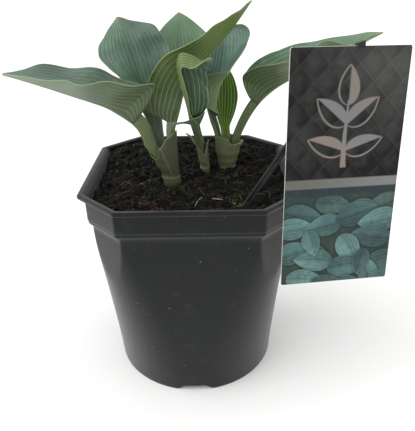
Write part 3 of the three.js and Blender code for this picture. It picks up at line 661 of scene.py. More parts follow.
# Dry plant fibre: dull, light brown to straw-coloured, with darker stretches.
fibre_material, tree, shader = new_material("dry_root_fibre")
place = add_node(tree, "TexCoord").outputs["Object"]
own_tone = add_node(tree, "Attribute", attribute_name="tone").outputs["Color"]
stain = add_node(tree, "TexNoise", {"Vector": place, "Scale": 1 / (1.5 * mm), "Detail": 3.0})
shade = add_node(tree, "MapRange", {"Value": stain, "From Min": 0.3, "From Max": 0.7,
                                    "To Min": 0.5, "To Max": 1.15})
toned = add_node(tree, "Mix", {0: 1.0, 6: own_tone, 7: shade}, data_type="RGBA", blend_type="MULTIPLY")
feed(shader, {"Base Color": toned, "Roughness": 0.8})

fibres = add_piece("root_fibres", grown.reshape(-1, 3), faces, [fibre_material])
palette = np.array([linear(colour) for colour in [*thread_tones, straw_tone]])
store_at_points(fibres, "tone", np.repeat(palette[tone], thread_points * thread_sides, axis=0))
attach(fibres, "root")

# Shoots: the sheathing leaf bases of three crowns, each closed round its stalks below and open in lobes
# above. They are fleshy, faintly ribbed along, and thin out to a pale edge; the left one has a node ring.
shoot_wall = 1.1
shoot_edge = 0.45
planting_depth = 12
lap_shows_from = 149
shoot_columns = 160
outer_rows = 48
inner_rows = 30
stub_rows = [
    # depth under the lowest ring, share of its half width
    (planting_depth, 0.7), (planting_depth / 2, 0.85),
]
rim_row = len(stub_rows) + outer_rows - 1
# Values of a shoot:
# rings: height, middle across and back, half width and half depth, from the foot up
# core: height of the bottom of the hollow inside
# rim: angle in degrees from the right, and the rim's height there
# ring_height: height of the node ring
# overlap: where one sheath laps over the next, as the angle at the foot and at the rim
# painted_light_share: share of the pale tone over the whole shoot, painted light that lifts the shoots
# standing in shade
shoots = {
    "shoot_left": {
        "rings": [(141, -12.2, -18.4, 4.4, 4.4), (146, -12.4, -18.2, 5.3, 5), (152, -13.4, -17.4, 5.7, 5.8),
                  (160, -15.6, -16, 7.6, 8.4), (166, -17.4, -15.8, 9.2, 9.2),
                  (172.5, -19.2, -15.8, 10.8, 9.8), (184, -18, -15.8, 9.5, 9.8)],
        "core": 157,
        "rim": [(-180, 172.5), (-150, 164.5), (-118, 164), (-88, 172), (-60, 178.5), (-25, 181), (8, 180),
                (45, 172), (90, 168), (150, 167)],
        "ring_height": 150.2, "overlap": (-70, -100), "painted_light_share": 0.06,
    },
    "shoot_middle": {
        "rings": [(141, 9.2, 6, 2.4, 4), (148, 9.1, 6.4, 3, 5.6), (154, 8.2, 6.8, 3.6, 7.4),
                  (162, 7.3, 6.8, 4, 8.6), (167, 6.2, 6.4, 6, 9), (173, 3.6, 6.2, 8.2, 9.4)],
        "core": 152,
        "rim": [(-180, 171.5), (-145, 167.5), (-112, 162), (-75, 158.5), (-50, 161), (-20, 167.5),
                (15, 163), (90, 161), (150, 166)],
        "ring_height": 147, "overlap": (-62, -95), "painted_light_share": 0.52,
    },
    "shoot_right": {
        "rings": [(141, 24.8, 14.2, 5.2, 4.8), (144.6, 24.9, 14.2, 5.8, 5.6), (150, 25.3, 14.2, 6.8, 7.2),
                  (156.7, 25.2, 14.2, 8.5, 8.8), (163.4, 26.4, 14.2, 9.8, 9.6),
                  (171, 26.4, 14.2, 10.4, 10)],
        "core": 152,
        "rim": [(-180, 165.5), (-140, 168), (-105, 167.6), (-80, 163), (-55, 163.6), (-25, 164.6),
                (20, 162), (90, 165), (150, 166)],
        "ring_height": 144.6, "overlap": (-60, -70), "painted_light_share": 0.62,
    },
}
shoot_green = "#414630"
shoot_olive = "#383c2b"
shoot_pale = "#7d8562"
shoot_root = "#33291f"


def eased_through(places, values, at):
    """Values eased from each listed place to the next, read at other places."""
    places = np.asarray(places, float)
    values = np.asarray(values, float)
    i = np.clip(np.searchsorted(places, at, side="right") - 1, 0, len(places) - 2)
    w = ease((at - places[i]) / (places[i + 1] - places[i]))
    if values.ndim > 1:
        w = w[..., None]
    return mix(values[i], values[i + 1], w)


def shoot_skin(shoot):
    """The cup's points, row by row: stub, outer wall up to its lobed rim, and inner wall down to the core.
    Each row is an ellipse whose middle and half widths are eased between the listed rings. One sheath laps
    over the next along a line that runs round from one angle at the foot to another at the rim."""
    angle = np.linspace(-math.pi, math.pi, shoot_columns, endpoint=False)
    degrees = np.degrees(angle)
    rim_list = [*shoot["rim"], (180, shoot["rim"][0][1])]
    rim = eased_through([p[0] for p in rim_list], [p[1] for p in rim_list], degrees)
    heights = [ring[0] for ring in shoot["rings"]]
    foot = shoot["rings"][0]

    def lap_angle(z):
        return mix(*shoot["overlap"], (z - foot[0]) / (heights[-1] - foot[0]))

    def row(z, inset):
        x, y, a, b = np.moveaxis(eased_through(heights, [ring[1:] for ring in shoot["rings"]], z), -1, 0)
        past_lap = np.mod(degrees - lap_angle(z), 360)
        outside = inset < 0.2
        lap = 0.45 * np.exp(-past_lap / 28) * ease(past_lap / 2.5) * outside
        rib = 0.05 * np.cos(angle * 23 + 0.4) * outside
        out = lap + rib - inset
        return np.stack([x + (a + out) * np.cos(angle), y + (b + out) * np.sin(angle), z], axis=-1)

    rows = []
    for depth, part in stub_rows:
        r = foot[3] * part
        rows.append(np.stack([foot[1] + r * np.cos(angle), foot[2] + r * np.sin(angle),
                              np.full(len(angle), foot[0] - depth)], axis=-1))
    for up in np.linspace(0, 1, outer_rows):
        z = mix(foot[0], rim, up)
        ring_swell = 0.5 * np.exp(-((z - shoot["ring_height"]) / 0.7) ** 2)
        bulb = 0.5 * ease((shoot["ring_height"] - z) / 3)
        rows.append(row(z, -ring_swell - bulb))
    for up in np.linspace(1, 0, inner_rows):
        z = mix(shoot["core"], rim, up)
        thin = ease((1 - up) * 3)
        rows.append(row(z + 0.12 * (up == 1), mix(shoot_edge, shoot_wall, thin)))
    rows = np.stack(rows)
    past_lap = np.mod(degrees - lap_angle(rows[..., 2]) + 180, 360) - 180
    return rows, past_lap


# Fleshy sheath: satin olive green with pale streaks along it, paler at its rim, laps and node ring, and
# stained brown at the soil. The shoots that stand in shade are painted paler all over, as painted light.
shoot_material, tree, shader = new_material("fleshy_leaf_sheath")
place = add_node(tree, "TexCoord").outputs["Object"]
stretched = add_node(tree, "Mapping", {"Vector": place, "Scale": (1, 1, 0.12)})
streak = add_node(tree, "TexNoise", {"Vector": stretched, "Scale": 1 / (0.7 * mm), "Detail": 2.0})
blotch = add_node(tree, "TexNoise", {"Vector": place, "Scale": 1 / (5 * mm), "Detail": 3.0})
painted_light_share = add_node(tree, "Attribute", attribute_name="painted_light_share").outputs["Fac"]
pale_edge = add_node(tree, "Attribute", attribute_name="pale_edge").outputs["Fac"]
rooted = add_node(tree, "Attribute", attribute_name="rooted").outputs["Fac"]
flesh = add_node(tree, "Mix", {0: blotch, 6: shoot_olive, 7: shoot_green}, data_type="RGBA")
streak_share = add_node(tree, "MapRange", {
    "Value": streak, "From Min": 0.5, "From Max": 0.85, "To Min": 0.0, "To Max": 0.22})
# Painted light: a share of the pale tone over the whole sheath lifts the shoots that stand in shade.
paler = add_node(tree, "Mix", {0: painted_light_share, 6: flesh, 7: shoot_pale}, data_type="RGBA")
streaked = add_node(tree, "Mix", {0: streak_share, 6: paler, 7: shoot_pale}, data_type="RGBA")
edged = add_node(tree, "Mix", {0: pale_edge, 6: streaked, 7: shoot_pale}, data_type="RGBA")
based = add_node(tree, "Mix", {0: rooted, 6: edged, 7: shoot_root}, data_type="RGBA")
bump = add_node(tree, "Bump", {"Height": streak, "Strength": 0.2, "Distance": 0.12 * mm})
feed(shader, {"Base Color": based, "Normal": bump, "Roughness": 0.48, "Specular IOR Level": 0.4,
              "Subsurface Weight": 0.12, "Subsurface Radius": (1.2 * mm, 1.6 * mm, 0.5 * mm),
              "Subsurface Scale": 1.0})

for name, shoot in shoots.items():
    rows, past_lap = shoot_skin(shoot)
    points = rows.reshape(-1, 3)
    ends = [rows[0].mean(axis=0), rows[-1].mean(axis=0)]
    first_ring = np.arange(shoot_columns)
    faces = [
        *grid_faces(len(rows), shoot_columns, around=True),
        *closing_fan(first_ring, len(points), flip=True),
        *closing_fan(first_ring + (len(rows) - 1) * shoot_columns, len(points) + 1),
    ]
    piece = add_piece(name + "_sheath", np.concatenate([points, ends]), faces, [shoot_material])
    z = rows[..., 2]
    to_rim = z[rim_row] - z
    at_lap = 0.6 * np.exp(-((past_lap - 2) / 2.2) ** 2) * (to_rim > 0) * ease((z - lap_shows_from) / 3)
    at_lap[rim_row + 1:] = 0
    at_ring = 0.5 * np.exp(-((z - shoot["ring_height"]) / 0.5) ** 2)
    pale_edge = np.maximum(0.75 * np.exp(-np.maximum(to_rim, 0) / 0.45), np.maximum(at_lap, at_ring))
    rooted = 0.75 * ease((shoot["ring_height"] - z - 1) / 6)
    store_at_points(piece, "pale_edge", np.append(pale_edge, [0, 0]))
    store_at_points(piece, "rooted", np.append(rooted, [1, 0]))
    # Painted light: this shoot's share of the pale tone all over, larger where it stands in shade.
    store_at_points(piece, "painted_light_share", np.full(len(points) + 2, shoot["painted_light_share"]))
    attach(piece, "root")
    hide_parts(name)

# Leaves: eight smooth thick blades on channelled stalks. Each is one sheet, waxy blue-green above and olive
# below, drawn into pillows between sunken veins that fan out of the stalk and run to the tip.
sheet_thickness = 0.6
stalk_thickness = 2.6
midrib_thickness = 1.3
furrow_depth = 0.26
margin_round = 0.45
stalk_rows = 26
blade_rows = 84
points_per_vein = 5
vein_map_step = 6
vein_colour = "#8fa88b"
margin_colour = "#93a277"
bloom_colour = "#8aa09a"
under_vein_colour = "#8f9c70"
dry_tip_colour = "#8a7a52"
stalk_colour_within = "#2a371f"
stalk_colour_outside = "#3f4e30"
# Values of a leaf. Those that have a usual value are listed only where they differ from it:
# midrib: places from the stalk's foot to the tip
# blade_from: share of the midrib at which the blade starts
# petiole: half width of the stalk at its foot and at the blade
# channel: fold of the stalk's two halves, their curl at its foot and their curl at the blade
# span: share of the midrib on either side over which its way is taken
# face: the way that the upper side looks, from foot to tip
# halves: the left and the right one, each with these:
#     width, and the powers rise and fall that shape it along the blade
#     fold and curl in degrees, from the blade's base to its tip
#     lobe: how far the base runs back beside the stalk; lobe_shares: where that is full and where it ends
#     wave: height of the margin's waves, their number and where they start
# veins: number on each half
# upper and under: tones of the two sides, at the blade's base and at its tip
# painted_half_shades: painted shade, a factor that darkens the tones and veins of the left and the right
# half
# within: tone of the stalk's channel; vein: tone of the veins; bloom: share of the waxy bloom
leaves = {
    "leaf_long_left": {
        "midrib": [(-15.4, -17.8, 153), (-19.2, -18.4, 162.5), (-25.1, -20.8, 171.8), (-31.8, -24, 187.4),
                   (-46.1, -26, 197.8), (-69.7, -28, 207.2), (-92.2, -30, 215.4), (-105.8, -31, 219.8)],
        "blade_from": 0.35, "petiole": (1.6, 6.5),
        "face": [(0.3, 0.2, 1), (0.1, 0.25, 1), (0, 0.1, 1), (0, 0.1, 1), (0, 0, 1)],
        "halves": [
            {"width": 29.4, "rise": 0.42, "fall": 1.06, "fold": [85, 39, 23, 19, 38],
             "curl": [-11, -6, 5, -9], "lobe": 9, "lobe_shares": (0.11, 0.5), "wave": (0.8, 3.8, 0.27)},
            {"width": 22.9, "rise": 0.31, "fall": 0.82, "fold": [56, 47, 48, 32], "curl": [12, 0, 2, 0],
             "lobe": 3.8, "wave": (2, 2.6, 0.26)},
        ],
        "veins": 8, "upper": ("#4d6248", "#6d8375"), "under": ("#516042", "#75826f"), "painted_half_shades": (1, 0.72),
    },
    "leaf_broad_left": {
        "midrib": [(-15, -11.9, 152), (-17, -11.4, 161.6), (-20.4, -6, 172.4), (-26, 10.5, 186.5),
                   (-31.5, 16.8, 202.1), (-36.8, 21.5, 219.6), (-42, 25, 234.8), (-47.2, 29, 243.9)],
        "blade_from": 0.44, "petiole": (1.6, 9), "channel": (26, 80, 26),
        "face": [(-0.2, -0.8, 0.5), (0, -0.9, 0.5), (0.1, -0.9, 0.6), (0.1, -0.9, 0.6)],
        "halves": [
            {"width": 27.8, "rise": 0.59, "fall": 0.75, "fold": [58, 47, 18, -18], "curl": [36, 30, 14, -4],
             "wave": (1.7, 2.5, -0.17)},
            {"width": 24.6, "rise": 0.53, "fall": 0.61, "fold": [25, 26, 19, -32],
             "curl": [20, 20, 11, -20], "lobe": 3, "wave": (0.4, 2, 0)},
        ],
        "veins": 8, "upper": ("#577a5a", "#56705d"), "under": ("#4f5f3f", "#6b7a58"), "painted_half_shades": (1, 0.6),
    },
    "leaf_back": {
        "midrib": [(8.8, 10.6, 149), (7.8, 11.6, 158), (5.2, 17, 168), (-1.6, 32, 186), (-7.5, 44, 218.4),
                   (-8, 48, 233.2), (-7.6, 50, 244.2)],
        "blade_from": 0.47, "petiole": (1.2, 4),
        "face": [(0, -0.9, 0.5), (0, -0.9, 0.5)],
        "halves": [
            {"width": 23.2, "rise": 0.6, "fall": 0.97, "fold": [20, 15, 10, 0], "curl": [20, 10, 5, -3],
             "lobe": 3},
            {"width": 26, "rise": 0.76, "fall": 0.85, "fold": [20, 15, 12, 3], "curl": [20, 10, 4, -2],
             "lobe": 3, "wave": (0.7, 2, 0)},
        ],
        "veins": 8, "upper": ("#517155", "#607f5f"), "under": ("#4f5f3f", "#6b7a58"),
    },
    "leaf_tall_centre": {
        "midrib": [(-11.5, -17.2, 153), (-11.8, -16, 165), (-12, -14, 180), (-7.6, -12, 193.6),
                   (-1.2, -11, 209.5), (10.2, -10, 223.6), (26.2, -8, 240.6), (37.6, -6, 255.2)],
        "blade_from": 0.27, "petiole": (1.6, 3.8),
        "face": [(-0.3, 0.9, 0.4), (-0.5, 0.8, 0.5), (-0.6, 0.5, 0.6), (-0.6, 0.5, 0.6)],
        "halves": [
            {"width": 18, "rise": 0.4, "fall": 0.95, "fold": [50, 45, 40, 30], "curl": [20, 10, 0, 0],
             "lobe": 3},
            {"width": 23, "rise": 0.45, "fall": 0.9, "fold": [36, 20, 7, 0], "curl": [24, 7, 0, -4],
             "lobe": 4, "wave": (-0.6, 2.6, -0.15)},
        ],
        "veins": 7, "upper": ("#486450", "#577563"), "under": ("#3a4a2a", "#586f2e"),
    },
    "leaf_hooded": {
        "midrib": [(8.6, 5.2, 149), (7.2, 4.6, 157.6), (5.4, -0.6, 168), (3, -9.6, 180.8), (0.4, -19, 193),
                   (-2, -25, 204.4), (-4.2, -29, 215.6), (-5.2, -32, 225.2), (-3.2, -34, 229.4),
                   (2.8, -36, 228.4), (8.8, -38, 226), (14, -40, 228)],
        "blade_from": 0.37, "span": 0.19, "petiole": (1.2, 3.4),
        "face": [(0.6, -0.5, 0.3), (0.8, -0.4, 0.3), (0.8, -0.3, 0.1), (0.8, -0.3, -0.3),
                 (0.2, -0.3, -0.9)],
        "halves": [
            {"width": 8.3, "rise": 1.7, "fall": 0.43, "fold": [49, 44, 50, 51, 9],
             "curl": [10, 4, 8, -4, -11], "wave": (-0.4, 2, 0)},
            {"width": 19.3, "rise": 1.11, "fall": 0.79, "fold": [52, 77, 64, 58, 7],
             "curl": [43, 53, 50, -8, -10], "wave": (-3, 1.28, 0.05)},
        ],
        "veins": 5, "upper": ("#375029", "#334d31"), "under": ("#2a3b25", "#536434"), "bloom": 0.5,
    },
    "leaf_cupped": {
        "midrib": [(21, 13.8, 149), (20.2, 13.6, 159), (17.6, 12.6, 170.8), (14, 12, 184), (17.3, 17, 199),
                   (21.4, 22, 212.6), (23, 27, 225.6), (23, 31, 235.4)],
        "blade_from": 0.37, "petiole": (1.4, 3.6), "within": "#48583a",
        "face": [(0.2, -0.9, 0.3), (0.3, -0.9, 0.4), (0, -0.9, 0.5), (0, -0.9, 0.5)],
        "halves": [
            {"width": 18.5, "rise": 0.8, "fall": 0.65, "fold": [35, 24, 15, 10, 0],
             "curl": [60, 34, 25, 20, 0]},
            {"width": 28.2, "rise": 0.62, "fall": 0.28, "fold": [55, 50, 56.5, 41, 28],
             "curl": [117, 200, 41.5, 37.7, 50], "wave": (1.1, 3.2, 0.03)},
        ],
        "veins": 8, "upper": ("#425d52", "#4d6b5d"), "under": ("#607850", "#748763"),
    },
    "leaf_young": {
        "midrib": [(25.4, 17.6, 149), (24.8, 18, 157), (24.2, 18.8, 163.4), (23.4, 22, 172),
                   (24, 28, 186.6), (24.2, 31, 200), (23.6, 34, 212)],
        "blade_from": 0.2, "petiole": (1.6, 3.2),
        "face": [(0, -0.9, 0.3), (0, -0.9, 0.4)],
        "halves": [
            {"width": 9, "rise": 1.35, "fall": 0.9, "fold": [35, 25, 15, 10], "curl": [20, 10, 5, 0]},
            {"width": 9, "rise": 1.45, "fall": 1.08, "fold": [26, 18, 27, 13], "curl": [16, 6, 11, 2],
             "wave": (-0.7, 2, 0)},
        ],
        "veins": 4, "upper": ("#33570f", "#375f18"), "under": ("#435f23", "#4f6f2e"),
        "vein": "#bcd06c", "bloom": 0.1,
    },
    "leaf_long_right": {
        "midrib": [(28.2, 12.8, 149), (29, 12.8, 158), (32.4, 12, 169), (39, 10, 183.6), (47.5, 8, 195.6),
                   (63, 4, 207), (88, -2, 221), (116, -10, 237)],
        "blade_from": 0.345, "petiole": (2.2, 3.8),
        "face": [(-0.3, -0.2, 1), (-0.3, -0.2, 1), (0, 0.1, 1), (0, 0.1, 1), (0, 0, 1)],
        "halves": [
            {"width": 26, "rise": 0.7, "fall": 1.14, "fold": [82.7, 47.4, 33.8, 42.7],
             "curl": [35.5, -1.2, -4.5, 7], "lobe": 8, "lobe_shares": (0.18, 0.6),
             "wave": (-1.3, 2.5, 0.14)},
            {"width": 25.7, "rise": 0.7, "fall": 1.36, "fold": [84.4, 29.2, 35.6, 24],
             "curl": [23.2, -16.3, -10.8, 2], "lobe": 8.2, "lobe_shares": (0.15, 0.38),
             "wave": (2.8, 3, 0.32)},
        ],
        "veins": 7, "upper": ("#446344", "#527055"), "under": ("#495c3c", "#6d7e5e"),
    },
}


def smooth_run(listed, shares):
    """Places at shares of the length of a smooth curve through the listed points, and that length.
    Each span is a cubic whose end slopes weigh its neighbours by the square roots of their distances."""
    p = np.asarray(listed, float)
    p = np.vstack([2 * p[0] - p[1], p, 2 * p[-1] - p[-2]])

    def place(at):
        i = np.clip(np.floor(at).astype(int), 0, len(p) - 4)
        w = (at - i)[:, None]
        a, b, c, d = p[i], p[i + 1], p[i + 2], p[i + 3]
        before, here, after = (np.linalg.norm(end - start, axis=1, keepdims=True) ** 0.5
                               for start, end in ((a, b), (b, c), (c, d)))
        leave = here * ((b - a) / before - (c - a) / (before + here) + (c - b) / here)
        arrive = here * ((c - b) / here - (d - b) / (here + after) + (d - c) / after)
        bend = 3 * (c - b) - 2 * leave - arrive
        return b + w * (leave + w * (bend + w * (2 * (b - c) + leave + arrive)))

    steps = np.linspace(0, len(listed) - 1, 401)
    lengths = np.linalg.norm(np.diff(place(steps), axis=0), axis=1)
    total = np.concatenate([[0], np.cumsum(lengths)])
    return place(np.interp(np.asarray(shares) * total[-1], total, steps)), total[-1]


def evenly(values, t):
    """Value at t, from 0 to 1, of evenly spaced values, eased from one to the next."""
    return eased_through(np.linspace(0, 1, len(values)), values, np.clip(t, 0, 1))


def unit(vectors):
    """Vectors that point the same ways and have length one."""
    return vectors / np.linalg.norm(vectors, axis=-1, keepdims=True)


def leaf_sheet(leaf, s, v):
    """Upper surface of a leaf over shares s of its length, one per row, and places v across, from -1 on one
    margin through 0 on the midrib to 1 on the other.
    A half's width is its share t along the blade to the power rise, times 1 - t to the power fall. Its
    section is an arc that leaves the midrib at the fold angle and turns by the curl. The margin waves."""
    place, length = smooth_run(leaf["midrib"], s)
    span = leaf.get("span", 0.03)
    ahead, _ = smooth_run(leaf["midrib"], np.minimum(s + span, 1))
    behind, _ = smooth_run(leaf["midrib"], np.maximum(s - span, 0))
    forward = unit(ahead - behind)
    look = evenly(leaf["face"], s)
    upper = unit(look - forward * np.sum(look * forward, axis=1, keepdims=True))
    across = np.cross(forward, upper)
    from_share = leaf["blade_from"]
    t = np.clip((s - from_share) / (1 - from_share), 0, 1)[:, None]
    along_stalk = np.clip(s / from_share, 0, 1)[:, None]
    m = np.abs(v)
    blade = ease(t / 0.1)
    stalk_fold, foot_curl, neck_curl = leaf.get("channel", (35, 80, 60))
    stalk = mix(*leaf["petiole"], along_stalk) * (1 - ease(t / 0.2))
    out, up, back, widths = np.zeros((4, *v.shape))
    for sign, half in zip((-1, 1), leaf["halves"]):
        rise, fall = half["rise"], half["fall"]
        peak = rise / (rise + fall)
        profile = t ** rise * (1 - t) ** fall / (peak ** rise * (1 - peak) ** fall)
        width = 0.3 + stalk + half["width"] * profile
        fold = np.radians(mix(stalk_fold, evenly(half["fold"], t), blade))
        curl = np.radians(mix(mix(foot_curl, neck_curl, along_stalk), evenly(half["curl"], t), blade))
        curl = np.where(np.abs(curl) < 1e-3, 1e-3, curl)
        turned = fold + curl * m
        height, waves, start = half.get("wave", (0, 0, 0))
        fade = blade * ease((1 - t) / 0.15)
        wave = height * np.sin(2 * math.pi * (waves * t + start)) * m ** 2 * fade
        here = np.sign(v) == sign
        out = np.where(here, width * (np.sin(turned) - np.sin(fold)) / curl - wave * np.sin(turned), out)
        up = np.where(here, width * (np.cos(fold) - np.cos(turned)) / curl + wave * np.cos(turned), up)
        full, gone = half.get("lobe_shares", (0.05, 0.35))
        lobe = half.get("lobe", 0) * np.clip(1 - t / gone, 0, 1) ** 2 * m ** 1.5 * ease(t / full)
        back = np.where(here, lobe, back)
        widths = np.where(here | (v == 0), width, widths)
    points = (place[:, None] + across[:, None] * (np.sign(v) * out)[..., None]
              + upper[:, None] * up[..., None] - forward[:, None] * back[..., None])
    return points, t, widths, length


def leaf_material(name, under):
    """Material of one side of the blades. The veins are drawn where the leaf's own map has whole numbers
    across, at their real width, and the tone is the leaf's own."""
    material, tree, shader = new_material(name)
    across_along = add_node(tree, "UVMap", uv_map="veins")
    parts = add_node(tree, "SeparateXYZ", {0: across_along})
    tone = add_node(tree, "Attribute", attribute_name="tone").outputs["Color"]
    vein_tone = add_node(tree, "Attribute", attribute_name="vein_tone").outputs["Color"]
    waxy = add_node(tree, "Attribute", attribute_name="bloom").outputs["Fac"]
    spacing = add_node(tree, "Attribute", attribute_name="vein_spacing").outputs["Fac"]
    margin = add_node(tree, "Attribute", attribute_name="from_margin").outputs["Fac"]
    place = add_node(tree, "TexCoord").outputs["Object"]

    def line(across, width, strength):
        """Share of the veins' tone: strength on each whole number across, fading out at a half width."""
        near = add_node(tree, "Math", {0: across, 1: 0.5}, operation="PINGPONG")
        away = add_node(tree, "Math", {0: near, 1: spacing}, operation="MULTIPLY")
        return add_node(tree, "MapRange", {"Value": away, "From Min": width * 0.35, "From Max": width,
                                           "To Min": strength, "To Max": 0.0})

    main_line = line(parts.outputs["X"], 0.45 if under else 0.42, 0.4)
    fine = add_node(tree, "Math", {0: parts.outputs["X"], 1: 5.0}, operation="MULTIPLY")
    streak_map = add_node(tree, "CombineXYZ", {0: fine, 1: parts.outputs["Y"]})
    streak = add_node(tree, "TexNoise", {"Vector": streak_map, "Scale": 1.0, "Detail": 3.0})
    cloud = add_node(tree, "TexNoise", {"Vector": place, "Scale": 1 / (9 * mm), "Detail": 4.0})
    grain = add_node(tree, "TexNoise", {"Vector": place, "Scale": 1 / (0.5 * mm), "Detail": 2.0})
    bloom_share = add_node(tree, "MapRange", {
        "Value": cloud, "From Min": 0.35, "From Max": 0.75, "To Min": 0.0,
        "To Max": 0.1 if under else 0.3})
    bloom_here = add_node(tree, "Math", {0: bloom_share, 1: waxy}, operation="MULTIPLY")
    bloomed = add_node(tree, "Mix", {0: bloom_here, 6: tone, 7: bloom_colour}, data_type="RGBA")
    shade = add_node(tree, "MapRange", {"Value": streak, "From Min": 0.25, "From Max": 0.75,
                                        "To Min": 0.8, "To Max": 1.15})
    shaded = add_node(tree, "Mix", {0: 1.0, 6: bloomed, 7: shade},
                      data_type="RGBA", blend_type="MULTIPLY")
    veined = add_node(tree, "Mix", {0: main_line, 6: shaded, 7: vein_tone}, data_type="RGBA")
    margin_share = add_node(tree, "MapRange", {"Value": margin, "From Min": 0.1, "From Max": 0.45,
                                               "To Min": 0.42, "To Max": 0.0})
    edged = add_node(tree, "Mix", {0: margin_share, 6: veined, 7: margin_colour}, data_type="RGBA")
    height = add_node(tree, "Math", {0: streak, 1: grain}, operation="ADD")
    bump = add_node(tree, "Bump", {"Height": height, "Strength": 0.25, "Distance": 0.12 * mm})
    rough = add_node(tree, "MapRange", {"Value": cloud, "To Min": 0.42, "To Max": 0.6})
    feed(shader, {"Base Color": edged, "Roughness": rough, "Normal": bump, "Specular IOR Level": 0.28,
                  "Subsurface Weight": 0.1, "Subsurface Radius": (0.6 * mm, 1.2 * mm, 0.3 * mm),
                  "Subsurface Scale": 1.0})
    return material


def closed_sheet(upper, lower):
    """Points and faces of a grid sheet with two sides, closed along its four borders, and each face's
    side: 0 above and on the borders, 1 below."""
    rows, columns = upper.shape[:2]
    count = rows * columns
    top = grid_faces(rows, columns)
    border = grid_border(rows, columns)
    edge = joining_faces(border, border + count)
    faces = np.concatenate([top, top[:, ::-1] + count, edge])
    side = np.concatenate([np.zeros(len(top)), np.ones(len(top)), np.zeros(len(edge))])
    return np.concatenate([upper.reshape(-1, 3), lower.reshape(-1, 3)]), faces, side


def edge_share(to_edge, roundness, least):
    """Share of a sheet's thickness at distances from its edge: least on the edge, and from there a quarter
    of an ellipse up to 1."""
    turn = np.clip(to_edge / roundness, 0, 1)
    return mix(least, 1, np.sqrt(1 - (1 - turn) ** 2))


def dress_blade(blade, across, along, tones, veins, bloom, spacing, to_edge):
    """Stores what the leaf material reads on a two-sided blade: its map, counted in veins across and in
    equal steps along, and for each point the two sides' tones, the veins' tones, the bloom, the distance
    between veins and the distance from the margin."""
    shape = to_edge.shape
    vein_map = np.stack(np.broadcast_arrays(across, along / vein_map_step), axis=-1).reshape(-1, 2)
    corner_points = read_mesh(blade.data.loops, "vertex_index").astype(int) % len(vein_map)
    blade.data.uv_layers.new(name="veins").data.foreach_set("uv", vein_map[corner_points].reshape(-1))
    for layer, sides in (("tone", tones), ("vein_tone", veins)):
        sides = [np.broadcast_to(side, (*shape, 4)).reshape(-1, 4) for side in sides]
        store_at_points(blade, layer, np.concatenate(sides))
    for layer, number in (("bloom", bloom), ("vein_spacing", spacing), ("from_margin", to_edge)):
        store_at_points(blade, layer, np.tile(np.broadcast_to(number, shape).reshape(-1), 2))


upper_material = leaf_material("waxy_leaf_upper_side", under=False)
under_material = leaf_material("ribbed_leaf_underside", under=True)
for number, (name, leaf) in enumerate(leaves.items()):
    # Places along, closer together at the blade's two ends, and across, with four on each rounded margin.
    blade_from = leaf["blade_from"]
    s = np.concatenate([
        np.linspace(0, blade_from, stalk_rows, endpoint=False),
        mix(blade_from, 1, 0.5 - 0.5 * np.cos(np.linspace(0, math.pi, blade_rows))),
    ])
    inner = leaf["veins"] * points_per_vein
    share = np.arange(inner) / inner
    _, _, widths, _ = leaf_sheet(leaf, s, np.tile([-1.0, 1.0], (len(s), 1)))
    round_share = np.minimum(margin_round / widths, 0.25)
    curve = np.sin(np.array([0, 0.45, 0.8, 1]) * math.pi / 2)
    halves = []
    for k in (0, 1):
        keep = 1 - round_share[:, k:k + 1]
        halves.append(np.hstack([share * keep, keep + (1 - keep) * curve]))
    v = np.hstack([-halves[0][:, :0:-1], halves[1]])
    sheet, t, widths, length = leaf_sheet(leaf, s, v)
    m = np.abs(v)

    # The upper side sinks at the veins and is a little uneven in all.
    normal = unit(np.cross(np.gradient(sheet, axis=1), np.gradient(sheet, axis=0)))
    spacing = widths / leaf["veins"]
    pillow = np.abs(np.sin(math.pi * leaf["veins"] * m)) ** 0.8
    relief = np.minimum(furrow_depth, 0.1 * spacing) * ease(t / 0.12) * ease((1 - t) / 0.2)
    x, y, z = np.moveaxis(sheet, -1, 0)
    unevenness = 0.3 * m * ease(t / 0.2) * (np.sin(x * 0.31 + number) * np.sin(z * 0.27)
                                            + 0.5 * np.sin(y * 0.5 + x * 0.37 + 2 * number))
    sheet = sheet + normal * (relief * (pillow - 1) + unevenness)[..., None]

    # It is thickest on the midrib and thins out on its rounded margin.
    core = mix(stalk_thickness, midrib_thickness, ease(t / 0.25)) * (1 - 0.4 * t)
    thickness = sheet_thickness + np.maximum(core - sheet_thickness, 0) * (1 - m) ** 2
    to_edge = (1 - m) * widths
    thickness = thickness * edge_share(to_edge, margin_round, 0.2)
    points, faces, side = closed_sheet(sheet, sheet - normal * thickness[..., None])
    piece = add_piece(name + "_blade", points, faces, [upper_material, under_material], side)

    # The tones run from the stalk over the blade's base to its dry tip.
    # Painted shade: one half of some blades is darkened by a factor on both sides' tones and on its veins.
    left_painted_shade, right_painted_shade = leaf.get("painted_half_shades", (1, 1))
    shade = mix(1, np.where(v < 0, left_painted_shade, right_painted_shade), ease(m / 0.5))[..., None]
    on_blade = ease((s / blade_from - 0.85) / 0.35)[:, None, None]
    dry = 0.7 * ease((t - 0.955) / 0.03)[..., None]
    tones = []
    for stalk_tone, (base_tone, tip_tone) in ((leaf.get("within", stalk_colour_within), leaf["upper"]),
                                              (stalk_colour_outside, leaf["under"])):
        toned = mix(linear(base_tone), linear(tip_tone), ease(t / 0.6)[..., None]) * shade
        toned = mix(linear(stalk_tone), toned, on_blade)
        tones.append(mix(toned, linear(dry_tip_colour), dry))
    veins = [linear(leaf.get("vein", colour)) * shade for colour in (vein_colour, under_vein_colour)]
    bloom = leaf.get("bloom", 1) * mix(0.2, 1, on_blade[..., 0])
    dress_blade(piece, v * leaf["veins"], (s * length)[:, None], tones, veins, bloom, spacing, to_edge)
    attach(piece, "root")
    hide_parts(name)

